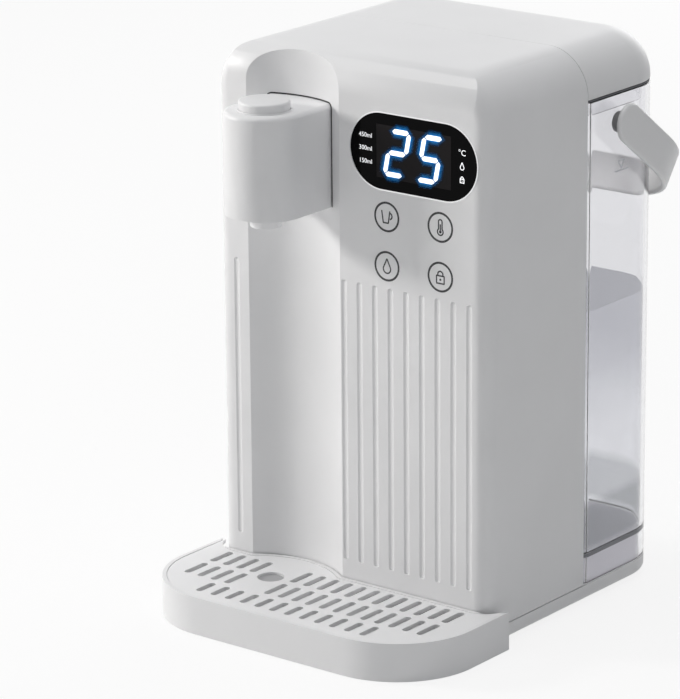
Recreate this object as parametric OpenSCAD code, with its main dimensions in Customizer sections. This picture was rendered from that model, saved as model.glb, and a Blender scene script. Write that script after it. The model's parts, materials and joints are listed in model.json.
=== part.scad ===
// Instant hot water dispenser: front unit with spout and drip tray, lift-off water tank at the rear.
// Millimetres, +Z up, the front faces -Y. The origin is on the table, under the middle of the whole object.

/* [Body] */
// Width of the body across the side walls
body_w = 172; // [160:1:190]
// Depth of the body from the front wall to the back of the tank
body_d = 162; // [156:1:180]
// Height of the body over the table
body_h = 293; // [285:1:320]
// Depth of the front unit, from the front wall to the seam in front of the tank
front_d = 84.5; // [82:0.5:92]
// Wall thickness of the moulded housing
wall = 2.5; // [2:0.1:3]
// Radius of the upright front corners
front_r = 9; // [6:0.5:14]
// Fillet along the top of the front wall
front_top_r = 18; // [10:0.5:22]
// Radius of the upright rear corners of tank, lid and base
rear_r = 31; // [24:0.5:38]
// Fillet round the top of the housing and of the lid
top_r = 24.5; // [18:0.5:25]

/* [Base] */
// Height of the rubber feet under the base
foot_h = 2; // [1:0.5:4]
// Diameter of a rubber foot
foot_d = 16; // [12:1:20]
// How far a foot sits in from the sides
foot_inset = 20; // [16:1:26]
// Height of the base from its underside to its parting line
base_h = 8.7; // [8:0.1:12]
// Rounding of the lower edge of the base
base_edge_r = 3; // [1:0.5:4]
// Thickness of the floor of the base
floor_t = 2.4; // [2:0.1:3]
// Thickness of the outer wall of the base
base_wall = 2.8; // [2.6:0.1:3.2]
// Height of the shadow groove along the parting line
groove_h = 0.6; // [0.3:0.1:1]

/* [Channel and flutes] */
// Distance of the upright channel behind the spout from the display window
channel_gap = 7.1; // [5:0.1:9]
// Width of the channel at the front wall
channel_w = 59.2; // [54:0.1:64]
// Depth of the channel at its middle
channel_depth = 10; // [8:0.5:14]
// Width of a flute on the front wall
flute_w = 3.4; // [2:0.1:5]
// Depth of a flute
flute_depth = 1.1; // [0.6:0.1:1.4]
// Distance between flutes
flute_pitch = 9.72; // [8:0.01:10]
// Number of flutes right of the channel
flute_count = 9; // [5:1:9]
// Place of the first flute, from the right edge of the channel
flute_first = 2.4; // [2:0.1:5]
// Place of the single flute left of the channel, from the left edge of the channel
flute_left = 8; // [5:0.1:10]
// Height of the lower end of the flutes over the table
flute_low = 32; // [28:0.5:60]
// How far the upper end of the flutes lies below the top of the body
flute_drop = 115; // [113:1:170]

/* [Spout] */
// Width of the spout
spout_w = 41; // [38:0.5:46]
// Reach of the spout in front of the front wall
spout_reach = 42.5; // [40:0.5:50]
// How far the top of the spout lies below the top of the body
spout_drop = 25.8; // [24:0.1:30]
// Height of the spout from its underside to its top
spout_h = 53; // [50:1:56]
// Rounding of the upper edge of the spout
spout_edge_r = 2.5; // [1:0.5:4]
// Wall thickness of the spout
spout_wall = 2.2; // [1.8:0.1:2.8]
// Thickness of the plate that closes the spout from below
spout_floor_t = 2; // [1.6:0.1:3]
// Diameter of the nozzle under the spout
nozzle_d = 15.8; // [14:0.1:20]
// How far the nozzle stands below the spout
nozzle_drop = 7; // [3:0.5:9]
// Bore of the nozzle
nozzle_bore = 4.4; // [3:0.1:5]
// Diameter of the dispense button
button_d = 26; // [22:0.5:28]
// How far the dispense button stands above the spout
button_proud = 4.8; // [3.6:0.1:6]
// Travel of the dispense button
button_travel = 2.5; // [1.5:0.1:3]
// Width of the ring round the dispense button
collar_w = 1; // [0.8:0.1:2]
// Height of the ring round the dispense button
collar_h = 0.5; // [0.4:0.1:1]

/* [Display] */
// Width of the display window
display_w = 78; // [70:1:80]
// Height of the display window
display_h = 39; // [34:1:40]
// Distance of the middle of the display and of the touch keys from the right side of the body
display_side = 45.6; // [44:0.1:47]
// How far the middle of the display lies below the top of the body
display_drop = 43.4; // [43:0.1:47]
// Thickness of the display window
glass_t = 1.6; // [1.2:0.1:1.8]
// Width of the ledge that the window is glued to
ledge_w = 4; // [3:0.5:6]
// Width of the digit module behind the window
led_w = 46; // [40:1:48]
// Distance between touch keys across
touch_dx = 33; // [28:0.5:36]
// Distance between touch keys upright
touch_dz = 25.4; // [22:0.1:28]
// How far the upper touch keys lie below the middle of the display
touch_drop = 33.2; // [31:0.1:36]
// Diameter of a touch spring behind the wall
touch_spring_d = 8; // [6:0.5:10]
// Distance of the display board from the inside of the front wall
board_gap = 9; // [8:0.5:12]
// Thickness of the circuit boards
board_t = 1.6; // [1:0.1:2]

/* [Drip tray] */
// Reach of the drip tray in front of the front wall
tray_reach = 69; // [60:0.5:80]
// How far the drip tray stands out past the sides of the body
tray_over = 7; // [3:0.5:8]
// Height of the drip tray over the table
tray_h = 20.4; // [20:0.1:26]
// Radius of the front corners of the drip tray
tray_r = 45.5; // [30:0.5:54]
// Gap between the drip tray and the body
tray_gap = 0.6; // [0.4:0.1:1]
// Wall thickness of the drip tray
tray_wall = 2.2; // [1.8:0.1:2.6]
// Width of the ledge that carries the grille
tray_ledge = 2.4; // [1.5:0.1:3.5]
// Thickness of the drip grille
grille_t = 2.2; // [1.6:0.1:3]
// Width of a drain slot
slot_w = 4; // [3:0.1:5]
// Distance between drain slots in the two long rows
slot_pitch = 8.8; // [8:0.1:9]
// Distance between drain slots in the front row
slot_pitch_front = 9.55; // [9:0.05:10]
// Diameter of the round drain hole under the nozzle
drain_d = 14; // [10:0.5:15]

/* [Water tank] */
// Wall thickness of the tank
tank_wall = 2.2; // [1.8:0.1:2.4]
// Gap between the front unit and the tank
tank_gap = 0.5; // [0.3:0.1:1]
// Height of the hollow skirt under the tank floor
skirt_h = 13.9; // [13:0.1:18]
// Thickness of the tank floor
tank_floor_t = 2.4; // [2:0.1:3]
// Radius of the front corners of the tank
tank_r = 4; // [3:0.5:8]
// Height of the lid over its lower edge
lid_h = 25.4; // [25.4:0.1:30]
// Height of the seal between tank and lid
seal_h = 1.6; // [1.2:0.1:2.4]
// How far the lid reaches down into the tank
plug_h = 8; // [6:0.5:10]
// Wall thickness of the lid
lid_wall = 2.4; // [2:0.1:2.8]
// Diameter of the outlet valve under the tank
valve_d = 20; // [18:0.5:22]
// Opening stroke of the valve
valve_stroke = 2.4; // [1.5:0.1:2.8]
// Place of the outlet valve behind the seam
dock_back = 38.5; // [34:0.5:42]

/* [Handle] */
// Width of the handle strap
handle_w = 20.7; // [16:0.1:24]
// Thickness of the handle strap
handle_t = 3.2; // [3:0.1:6]
// Gap between the handle and the sides of the tank
handle_gap = 5.8; // [3:0.1:7]
// Distance from the pivot to the crossbar
handle_len = 75.6; // [73:0.1:90]
// Outer radius of the two bends of the handle
handle_bend_r = 42; // [36:1:42]
// Angle of the resting handle below level
handle_tilt = 36.5; // [34:0.5:37]
// Distance of the handle pivot ahead of the back of the tank
pivot_ahead = 51; // [48:0.5:51]
// Height of the handle pivot below the rim of the tank
pivot_drop = 14; // [12:0.5:20]
// Diameter of the pivot boss on the tank
boss_d = 10.8; // [9:0.1:12]
// Diameter of the pivot pin in the handle
pin_d = 7; // [5:0.1:8]

/* [Water path] */
// Outer diameter of the hoses
hose_d = 9; // [8.6:0.1:9.4]
// Bore of the hoses
hose_bore = 6; // [5.6:0.1:6.4]
// Bend radius of the hoses
hose_bend_r = 14; // [13:0.5:16]
// Diameter of the instant heater
heater_d = 44; // [38:1:46]
// Length of the instant heater
heater_h = 118; // [90:1:130]
// Height of the lower end of the heater over the table
heater_z = 46; // [45:1:52]
// Distance of the heater from the right side of the body
heater_side = 29; // [28:0.5:32]
// Diameter of the pump head
pump_d = 30; // [26:0.5:32]
// Height of the pump head
pump_h = 20; // [18:0.5:24]
// Diameter of the pump motor
motor_d = 24.4; // [22:0.1:26]
// Length of the pump motor
motor_h = 32; // [28:0.5:38]
// Distance of pump and heater ahead of the bulkhead
works_ahead = 31.6; // [29:0.1:34]
// Diameter of the flow sensor
sensor_d = 14; // [12:0.5:15]

/* [Mains inlet] */
// Bore of the cord gland
gland_bore = 7.2; // [6:0.1:8]
// Diameter of the hole for the gland in the wall
gland_d = 12; // [11:0.5:14]
// Diameter of the gland flange
gland_flange_d = 17; // [16:0.5:20]
// Height of the gland over the table
gland_z = 27; // [25:0.5:40]

/* [Hidden] */
// Clearance of parts that are set into one another
fit = 0.2;
// Radial clearance of parts that turn or slide on one another
run_fit = 0.05;
// Clearance of parts that pass one another
pass = 0.4;
// Overlap of a cut past the face that it opens
eps = 1;
$fn = 64;

half_w = body_w / 2;
handle_edge = (handle_w - handle_t) / 2;
handle_reach = (handle_len + handle_t / 2) * cos(handle_tilt) + handle_edge * sin(handle_tilt)
    + handle_t / 2;
total_d = tray_reach + body_d + max(0, handle_reach - pivot_ahead);
front_y = tray_reach - total_d / 2;
rear_y = front_y + body_d;
seam_y = front_y + front_d;
base_top = foot_h + base_h;
base_floor_z = foot_h + floor_t;
groove_in = 1;
inner_y = front_y + wall;

display_x = half_w - display_side;
display_z = body_h - display_drop;
touch_z = display_z - touch_drop;
channel_x = display_x - display_w / 2 - channel_gap - channel_w / 2;
channel_r = (channel_w * channel_w / 4 + channel_depth * channel_depth) / (2 * channel_depth);
channel_y = front_y + channel_depth - channel_r;
channel_right = channel_x + channel_w / 2;
channel_left = channel_x - channel_w / 2;
flute_high = body_h - flute_drop;

spout_gap = 0.25;
spout_top = body_h - spout_drop;
spout_low = spout_top - spout_h;
nose_y = front_y - spout_reach + spout_w / 2;
spout_in = spout_w / 2 - spout_wall;
spout_post_d = 7;
spout_post_x = spout_in - spout_post_d / 2 + fit;
spout_post_z = spout_low + spout_floor_t + spout_post_d;
spout_post_front = front_y - wall;
nozzle_lip = 2;

button_skirt_h = 6;
button_flange_t = 1.5;
button_flange_w = 1.6;
button_stem_d = 8;
button_top = spout_top + button_proud;
button_flange_z = spout_top - spout_wall - fit - button_flange_t;
carrier_t = 2;
carrier_drop = 11;
carrier_z = button_flange_z - carrier_drop;
carrier_back = 16;
carrier_rib = 2.4;
switch_size = 7;
switch_h = 3.2;
switch_top = carrier_z + carrier_t + switch_h;
button_spring_d = 15;
button_spring_bore = 12;

board_y = inner_y + board_gap;
display_post_d = 6;
board_margin = 1;
board_below = 8;
display_board_w = display_w - 2 * board_margin;
display_board_low = touch_z - touch_dz - board_below;
display_board_high = display_z + display_h / 2 - board_margin;
display_post_in = 3.6;
led_margin = 2;
led_h = display_h - 2 * (ledge_w + led_margin);

tray_half_w = half_w + tray_over;
tray_front_y = front_y - tray_reach;
tray_lift = 0.3;
tray_floor_t = 2;
tongue_w = 14;
tongue_h = 3;
tongue_x = 45;
tongue_len = 44;
tongue_z = foot_h + tray_lift;
tray_floor_z = tongue_z + tongue_h + run_fit;
tray_back = 6.6;
horn_r = 12.5;
horn_clear = 0.3;
horn_gap = tray_over + horn_clear;
grille_z = tray_h - fit - grille_t;
slot_edge = 5.1;
slot_web = 3.8;
slot_len = 17;
slot_len_front = 13.6;
slot_count = 18;
slot_count_front = 12;
drain_at = channel_x / slot_pitch + (slot_count - 1) / 2;

tank_y = seam_y + tank_gap;
tank_z = base_top;
tank_floor_z = tank_z + skirt_h;
lid_z = body_h - lid_h;
tank_rim = lid_z - seal_h;
seal_lip = 0.8;
seal_inset = 0.3;
seal_body_inset = 1.4;
plug_t = 2;
deck_gap = 0.8;
deck_top = tank_floor_z - pass;
deck_t = 2.2;
dock_y = seam_y + dock_back;
dock_wall = 3.5;
dock_floor_t = 3;
dock_d = valve_d + 2 * dock_wall;
dock_floor_z = base_floor_z + dock_floor_t;
port_z = dock_floor_z + hose_d / 2 + fit;
port_clear = 1;
valve_low = port_z + hose_bore / 2 + port_clear;
valve_seat_t = 1.8;
valve_wall = 2.5;
valve_bore = valve_d - 2 * valve_wall;
valve_hole = 9;
valve_flange_w = 4;
valve_flange_d = valve_d + 2 * valve_flange_w;
valve_flange_t = 2;
bridge_t = 2;
bridge_w = 5;
stem_d = 4;
poppet_d = 12.6;
poppet_t = 1.8;
poppet_z = valve_low + valve_seat_t + valve_stroke + fit / 2;
valve_spring_d = 9.4;
valve_spring_bore = 7;
bridge_z = tank_floor_z + tank_floor_t + valve_flange_t;
filter_gap = 3;
filter_d = valve_flange_d + 2 * filter_gap;
filter_h = 14;
filter_t = 1.2;
filter_slots = 12;
filter_slot_w = 3;
hose_room = 2;
hose_notch = hose_d + 2 * hose_room;
dock_seal_t = 1.2;
dock_seal_h = 2;

pivot_y = rear_y - pivot_ahead;
pivot_z = tank_rim - pivot_drop;
arm_in = half_w + handle_gap;
arm_out = arm_in + handle_t;
pin_skin = 1;
pin_depth = handle_t - pin_skin;

bulkhead_t = 2.4;
bulkhead_y = seam_y - bulkhead_t;
works_y = bulkhead_y - works_ahead;
heater_x = half_w - heater_side;
bulkhead_half_w = half_w - base_wall - fit;
nipple_d = hose_bore - 2 * run_fit;
nipple_wall = 0.95;
nipple_bore = nipple_d - 2 * nipple_wall;
nipple_len = 8;
pump_port_h = 6;
cradle_t = port_z - base_floor_z - pump_port_h;
pump_z = base_floor_z + cradle_t;
cradle_wall = 2;
cradle_h = 4;
sensor_len = 10;
sensor_x = pump_d / 2 + nipple_len / 2;
feed_x = sensor_x + sensor_len;
heater_rim = 2;
heater_cap_d = heater_d + 2 * heater_rim;
heater_cap_h = 6;
band_t = 2;
band_h = 12;
band_arm_w = 16;
band_shares = [0.2, 0.7];
band_low = heater_z + heater_h * band_shares[0];
band_high = heater_z + heater_h * band_shares[1];
flat_depth = 1;
cutout_d = 14;
cutout_t = 5;
cutout_pitch = 24;
bend_t = 0.3;
bend_d = hose_d + 2 * bend_t;
bend_bore = hose_bore - 2 * bend_t;
hot_rise = 24;
hot_hose_z = spout_low + spout_floor_t + hot_rise;
outlet_clear = 1.4;
outlet_end_z = spout_low + spout_floor_t + outlet_clear;
hose_hole_gap = 1.5;
hose_hole_d = hose_d + 2 * hose_hole_gap;

screw_d = 3;
screw_head_d = 6;
screw_head_h = 1.6;
screw_len = 12;
post_d = 9;
post_h = 34;
post_x = half_w - base_wall - fit - post_d / 2;
post_rib_w = 3;
bulkhead_post_x = half_w - wall - post_d / 2 + 5 * fit;
post_front_y = front_y + wall + front_r;
post_rear_y = bulkhead_y - post_d;
deck_screw_x = 50;
bulkhead_post_len = 12;
bulkhead_post_rise = 60;
bulkhead_post_drop = 40;
bulkhead_post_zs = [gland_z + bulkhead_post_rise, tank_rim - bulkhead_post_drop];
board_screw_d = 2.4;
board_screw_head_d = 4.6;
board_screw_head_h = 1.6;
board_screw_len = 5;

power_w = 66;
power_h = 100;
power_x = fit - bulkhead_post_x + post_d / 2 + board_margin;
power_z = 72;
power_post = 6;
power_post_d = 7;
power_post_in = 5;
power_y = bulkhead_y - power_post - board_t;
part_margin = 12;
part_low = 14;
part_gap = 5;
part_row_gap = 14;
relay_w = 19;
relay_t = 15;
relay_h = 16;
transformer_w = 24;
transformer_t = 20;
transformer_h = 22;
terminal_w = 30;
terminal_t = 11;
terminal_h = 10;
capacitor_d = 12;
capacitor_t = 20;
transformer_low = part_low + relay_h + part_row_gap;
terminal_low = transformer_low + transformer_h + part_row_gap;

gland_y = works_y;
gland_flange_t = 2;
gland_nut_t = 4;
gland_slack = 0.1;

// Shapes that several parts share

// Rectangle with its two upper corners rounded, standing on the X axis
module arch_profile(half, h, r) {
    translate([-half, 0]) square([2 * half, h - r]);
    translate([r - half, 0]) square([2 * (half - r), h]);
    for (side = [0, 1])
        mirror([side, 0]) translate([half - r, h - r]) quarter_disc(r);
}

// Quarter of a disc, from +X to +Y
module quarter_disc(r) {
    intersection() {
        circle(r);
        square(r);
    }
}

// Rectangle from the Y axis outwards with its outer upper corner rounded
module edge_profile(len, h, r) {
    square([len, h - r]);
    square([len - r, h]);
    translate([len - r, h - r]) quarter_disc(r);
}

// Plan outline with its own radius on the front and on the rear corners
module plan(half, y0, y1, r_front, r_rear) {
    translate([-half, y0 + r_front]) square([2 * half, y1 - r_rear - y0 - r_front]);
    translate([r_front - half, y0]) square([2 * (half - r_front), y1 - r_rear - y0]);
    translate([r_rear - half, y0 + r_front]) square([2 * (half - r_rear), y1 - r_front - y0]);
    for (side = [-1, 1]) {
        translate([side * (half - r_front), y0 + r_front]) circle(r_front);
        translate([side * (half - r_rear), y1 - r_rear]) circle(r_rear);
    }
}

// Turns a drawing in the X-Z plane upright and extrudes it from y0 to y1
module along_y(y0, y1) {
    translate([0, y1, 0]) rotate([90, 0, 0]) linear_extrude(y1 - y0) children();
}

// Turns a drawing in the Y-Z plane upright and extrudes it from x0 to x1
module along_x(x0, x1) {
    translate([x0, 0, 0]) rotate([90, 0, 90]) linear_extrude(x1 - x0) children();
}

// Quarter of a rounded corner, from +X to +Y
module corner(r, h, edge) {
    rotate_extrude(angle = 90) edge_profile(r, h, edge);
}

// Slab with a fillet round its upper edge and rounded rear corners; the front is flat
module flat_front_pillow(half, y0, y1, h, r, edge) {
    along_y(y0, y1 - r) arch_profile(half, h, edge);
    along_x(r - half, half - r) translate([y1 - r, 0]) edge_profile(r, h, edge);
    translate([half - r, y1 - r, 0]) corner(r, h, edge);
    translate([r - half, y1 - r, 0]) rotate([0, 0, 90]) corner(r, h, edge);
}

// The same slab with rounded and filleted front corners too
module pillow(half, y0, y1, h, r_front, r_rear, edge) {
    flat_front_pillow(half, y0 + r_front, y1, h, r_rear, edge);
    translate([0, y0 + r_front, 0]) mirror([0, 1, 0])
        along_x(r_front - half, half - r_front) edge_profile(r_front, h, edge);
    translate([r_front - half, y0 + r_front, 0]) rotate([0, 0, 180]) corner(r_front, h, edge);
    translate([half - r_front, y0 + r_front, 0]) rotate([0, 0, 270]) corner(r_front, h, edge);
}

// Round bar along X, Y or Z from a point
module bar_x(at, d, len) {
    translate(at) rotate([0, 90, 0]) cylinder(d = d, h = len);
}
module bar_y(at, d, len) {
    translate(at) rotate([-90, 0, 0]) cylinder(d = d, h = len);
}
module bar_z(at, d, len) {
    translate(at) cylinder(d = d, h = len);
}

// Upright ring
module ring(d, bore, h) {
    difference() {
        cylinder(d = d, h = h);
        translate([0, 0, -eps]) cylinder(d = bore, h = h + 2 * eps);
    }
}

// Stadium outline with round ends, lying along X
module stadium(w, h) {
    square([w - h, h], center = true);
    for (side = [-1, 1])
        translate([side * (w - h) / 2, 0]) circle(d = h);
}

// Quarter bend of a round bar from the +X axis to the +Y axis
module hose_bend(d) {
    rotate_extrude(angle = 90) translate([hose_bend_r, 0]) circle(d = d);
}

// Places of the repeated fasteners
module at_base_posts() {
    for (side = [-1, 1])
        for (y = [post_front_y, post_rear_y])
            translate([side * post_x, y, 0]) children();
}
module at_deck_screws() {
    for (side = [-1, 1])
        translate([side * deck_screw_x, dock_y, 0]) children();
}
module at_feet() {
    for (side = [-1, 1])
        for (y = [front_y + foot_inset, rear_y - foot_inset])
            translate([side * (half_w - foot_inset), y, 0]) children();
}
module at_bulkhead_posts() {
    for (side = [-1, 1])
        for (z = bulkhead_post_zs)
            translate([side * bulkhead_post_x, 0, z]) children();
}
module at_display_posts() {
    for (side = [-1, 1])
        for (z = [display_board_low + display_post_in, display_board_high - display_post_in])
            translate([display_x + side * (display_board_w / 2 - display_post_in), 0, z]) children();
}
module at_power_posts() {
    for (x = [power_x + power_post_in, power_x + power_w - power_post_in])
        for (z = [power_z + power_post_in, power_z + power_h - power_post_in])
            translate([x, 0, z]) children();
}
module at_spout_posts() {
    for (side = [-1, 1])
        translate([channel_x + side * spout_post_x, 0, spout_post_z]) children();
}
module at_touch_keys() {
    for (side = [-1, 1])
        for (row = [0, 1])
            translate([display_x + side * touch_dx / 2, 0, touch_z - row * touch_dz]) children();
}

// Base

module base_tub() {
    inside = base_wall;
    color("whitesmoke") difference() {
        union() {
            base_form();
            tray_tongues();
        }
        translate([0, 0, base_floor_z]) linear_extrude(base_h) difference() {
            plan(half_w - inside, front_y + inside, rear_y - inside, front_r - inside, rear_r - inside);
            translate([channel_x, channel_y]) circle(channel_r + inside);
        }
        at_feet() translate([0, 0, foot_h - eps]) cylinder(d = foot_d + 2 * fit, h = eps + pass);
        at_base_posts() base_screw_hole();
        at_deck_screws() base_screw_hole();
        vent_rows();
    }
}

// Outer form of the base, with the groove under the parting line and the channel in its front
module base_form() {
    difference() {
        translate([0, 0, base_top - groove_h]) {
            mirror([0, 0, 1])
                pillow(half_w, front_y, rear_y, base_h - groove_h, front_r, rear_r, base_edge_r);
            linear_extrude(groove_h)
                plan(half_w - groove_in, front_y + groove_in, rear_y - groove_in,
                    front_r - groove_in, rear_r - groove_in);
        }
        bar_z([channel_x, channel_y, 0], 2 * channel_r, body_h);
    }
}

// The two tongues that the drip tray slides on, long enough to join the wall of the channel
module tray_tongues() {
    for (side = [-1, 1])
        translate([side * tongue_x - tongue_w / 2, front_y - tongue_len, tongue_z])
            cube([tongue_w, tongue_len + channel_depth + base_wall, tongue_h]);
}

// Hole and head recess of a screw that comes up through the base
module base_screw_hole() {
    translate([0, 0, -eps]) cylinder(d = screw_d + fit, h = base_top);
    translate([0, 0, -eps]) cylinder(d = screw_head_d + 2 * fit, h = foot_h + eps + screw_head_h);
}

// Air slots in the floor under the electronics
module vent_rows() {
    vent_w = 3;
    vent_len = 30;
    vent_pitch = 7;
    for (side = [-1, 1])
        for (row = [0 : 3])
            translate([side * half_w / 2, front_y + front_d / 2 + (row - 2) * vent_pitch, -eps])
                linear_extrude(base_top) stadium(vent_len, vent_w);
}

module tank_deck() {
    inset = tank_wall + deck_gap;
    inner = inset + deck_t;
    color("gainsboro") difference() {
        union() {
            difference() {
                translate([0, 0, base_floor_z]) linear_extrude(deck_top - base_floor_z)
                    plan(half_w - inset, tank_y + inset, rear_y - inset, tank_r, rear_r - inset);
                translate([0, 0, base_floor_z - eps]) linear_extrude(deck_top - deck_t - base_floor_z + eps)
                    plan(half_w - inner, tank_y + inner, rear_y - inner, tank_r, rear_r - inner);
            }
            at_deck_screws() bar_z([0, 0, base_floor_z], post_d, deck_top - base_floor_z);
        }
        bar_z([0, dock_y, base_floor_z - eps], dock_d + 2 * fit, deck_top);
        translate([-hose_notch / 2, seam_y, base_floor_z - eps])
            cube([hose_notch, dock_back - dock_d / 2, port_z + hose_notch / 2 - base_floor_z + eps]);
        at_deck_screws() cylinder(d = screw_d, h = foot_h + screw_head_h + screw_len + fit);
    }
}

module rubber_feet() {
    color("dimgray") at_feet() cylinder(d = foot_d, h = foot_h + pass);
}

// Pan head screw standing on its head
module screw(d, head_d, head_h, len) {
    cylinder(d = head_d, h = head_h);
    cylinder(d = d, h = head_h + len);
}

module base_screws() {
    color("silver") {
        at_base_posts() base_screw();
        at_deck_screws() base_screw();
    }
}
module base_screw() {
    translate([0, 0, foot_h]) screw(screw_d, screw_head_d, screw_head_h, screw_len);
}

// Front unit

// Outer form of the front unit, or the same form drawn in by an inset and let down past its lower edge
module front_form(inset, y_end, drop) {
    len = y_end - front_y - inset;
    low = base_top - drop;
    high = body_h - inset;
    intersection() {
        translate([0, y_end, 0]) rotate([90, 0, 0])
            flat_front_pillow(half_w - inset, low, high, len, top_r - inset, front_r - inset);
        along_x(-half_w, half_w) translate([y_end, low]) mirror([1, 0])
            edge_profile(len, high - low, front_top_r - inset);
    }
}

// Plan outline with rounded front corners only
module front_plan(half, y0, y1, r) {
    translate([-half, y0 + r]) square([2 * half, y1 - y0 - r]);
    translate([r - half, y0]) square([2 * (half - r), y1 - y0]);
    for (side = [-1, 1])
        translate([side * (half - r), y0 + r]) circle(r);
}

module front_housing() {
    color("white") {
        difference() {
            front_form(0, seam_y, 0);
            difference() {
                front_form(wall, seam_y + eps, eps);
                bar_z([channel_x, channel_y, 0], 2 * (channel_r + wall), body_h);
            }
            bar_z([channel_x, channel_y, 0], 2 * channel_r, body_h + eps);
            flutes();
            window_pocket();
            bar_y([channel_x, front_y, hot_hose_z], hose_hole_d, front_d / 2);
            at_spout_posts() bar_y([0, front_y, 0], screw_d + fit, front_d / 2);
            bar_x([-half_w - eps, gland_y, gland_z], gland_d + 2 * gland_slack, wall + 2 * eps);
        }
        housing_posts();
    }
}

// Round-bottomed upright grooves with domed ends in the front wall
module flutes() {
    r = (flute_w * flute_w / 4 + flute_depth * flute_depth) / (2 * flute_depth);
    right = [for (i = [0 : flute_count - 1]) channel_right + flute_first + i * flute_pitch];
    xs = concat([channel_left - flute_left], right);
    for (x = xs)
        translate([x, front_y + flute_depth - r, 0]) {
            translate([0, 0, flute_low]) cylinder(r = r, h = flute_high - flute_low);
            translate([0, 0, flute_low]) sphere(r);
            translate([0, 0, flute_high]) sphere(r);
        }
}

// Pocket for the display window and the opening behind it
module window_pocket() {
    along_y(front_y - eps, front_y + glass_t + fit) translate([display_x, display_z])
        stadium(display_w + 2 * fit, display_h + 2 * fit);
    along_y(front_y, inner_y + eps) translate([display_x, display_z])
        stadium(display_w - 2 * ledge_w, display_h - 2 * ledge_w);
}

// Screw posts inside the housing
module housing_posts() {
    difference() {
        union() {
            at_base_posts() translate([0, 0, base_floor_z]) cylinder(d = post_d, h = post_h);
            post_ribs();
            at_bulkhead_posts() bar_y([0, bulkhead_y - bulkhead_post_len, 0], post_d, bulkhead_post_len);
        }
        at_base_posts() cylinder(d = screw_d, h = foot_h + screw_head_h + screw_len + fit);
        at_bulkhead_posts() bar_y([0, bulkhead_y - screw_len, 0], screw_d, screw_len + eps);
    }
    difference() {
        at_display_posts() bar_y([0, inner_y - fit, 0], display_post_d, board_gap + fit);
        at_display_posts() bar_y([0, board_y - board_screw_len, 0], board_screw_d, board_screw_len + eps);
    }
}

// Ribs that tie the base posts to the side walls
module post_ribs() {
    for (side = [0, 1])
        for (y = [post_front_y, post_rear_y])
            mirror([side, 0, 0]) translate([post_x, y - post_rib_w / 2, base_top])
                cube([half_w - wall - post_x + fit, post_rib_w, base_floor_z + post_h - base_top]);
}

module rear_bulkhead() {
    color("white") {
        difference() {
            along_y(bulkhead_y, seam_y) difference() {
                translate([0, base_floor_z])
                    arch_profile(bulkhead_half_w, body_h - wall - fit - base_floor_z, top_r - wall);
                translate([-hose_notch / 2, 0]) square([hose_notch, port_z]);
                translate([0, port_z]) circle(d = hose_notch);
            }
            at_bulkhead_posts() bar_y([0, bulkhead_y - eps, 0], screw_d + fit, bulkhead_t + 2 * eps);
            at_bulkhead_posts() bar_y([0, seam_y - screw_head_h, 0], screw_head_d + 2 * fit, bulkhead_t);
        }
        difference() {
            at_power_posts() bar_y([0, bulkhead_y - power_post, 0], power_post_d, power_post);
            at_power_posts() bar_y([0, bulkhead_y - power_post - eps, 0], board_screw_d, power_post + eps);
        }
    }
}

module bulkhead_screws() {
    color("silver") at_bulkhead_posts() translate([0, seam_y, 0]) rotate([90, 0, 0])
        screw(screw_d, screw_head_d, screw_head_h, screw_len - screw_head_h);
}

// Spout

// Outer form of the spout drawn in by an inset: a round nose and straight sides that end on the channel wall
module spout_form(inset, h, edge, gap) {
    half = spout_w / 2 - inset;
    intersection() {
        translate([channel_x, 0, 0]) {
            translate([0, nose_y, 0]) rotate([0, 0, 180]) rotate_extrude(angle = 180)
                edge_profile(half, h, edge);
            along_y(nose_y, front_y + channel_depth) arch_profile(half, h, edge);
        }
        bar_z([channel_x, channel_y, -eps], 2 * (channel_r - gap), h + 2 * eps);
    }
}

module spout_housing() {
    color("white") {
        difference() {
            translate([0, 0, spout_low]) spout_form(0, spout_h, spout_edge_r, spout_gap);
            translate([0, 0, spout_low - eps])
                spout_form(spout_wall, spout_h - spout_wall + eps, fit, -eps);
            bar_z([channel_x, nose_y, spout_low], button_d + 2 * fit, spout_h + eps);
        }
        spout_posts();
        carrier_ribs();
    }
}

// Screw posts on the inside of the spout's side walls
module spout_posts() {
    difference() {
        intersection() {
            at_spout_posts() bar_y([0, spout_post_front, 0], spout_post_d, front_d);
            bar_z([channel_x, channel_y, 0], 2 * (channel_r - spout_gap), body_h);
        }
        at_spout_posts() bar_y([0, spout_post_front - eps, 0], board_screw_d, front_d);
    }
}

// Ribs that carry the switch carrier
module carrier_ribs() {
    for (side = [0, 1])
        translate([channel_x, nose_y, carrier_z - carrier_rib]) mirror([side, 0, 0])
            translate([spout_in - carrier_rib, 0, 0]) cube([carrier_rib + fit, carrier_back, carrier_rib]);
}

module spout_floor() {
    inset = spout_wall + fit;
    color("white") difference() {
        translate([0, 0, spout_low]) spout_form(inset, spout_floor_t, fit, spout_gap);
        bar_z([channel_x, nose_y, spout_low - eps], nozzle_d - 2 * nozzle_lip, spout_floor_t + 2 * eps);
    }
}

module spout_screws() {
    color("silver") at_spout_posts() translate([0, spout_screw_y(), 0]) rotate([90, 0, 0])
        screw(board_screw_d, board_screw_head_d, board_screw_head_h, screw_len);
}
// Inner face of the channel wall at the spout screws
function spout_screw_y() = let (x = spout_post_x - board_screw_head_d / 2)
    channel_y + sqrt(pow(channel_r + wall, 2) - x * x) + board_screw_head_h;

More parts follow.
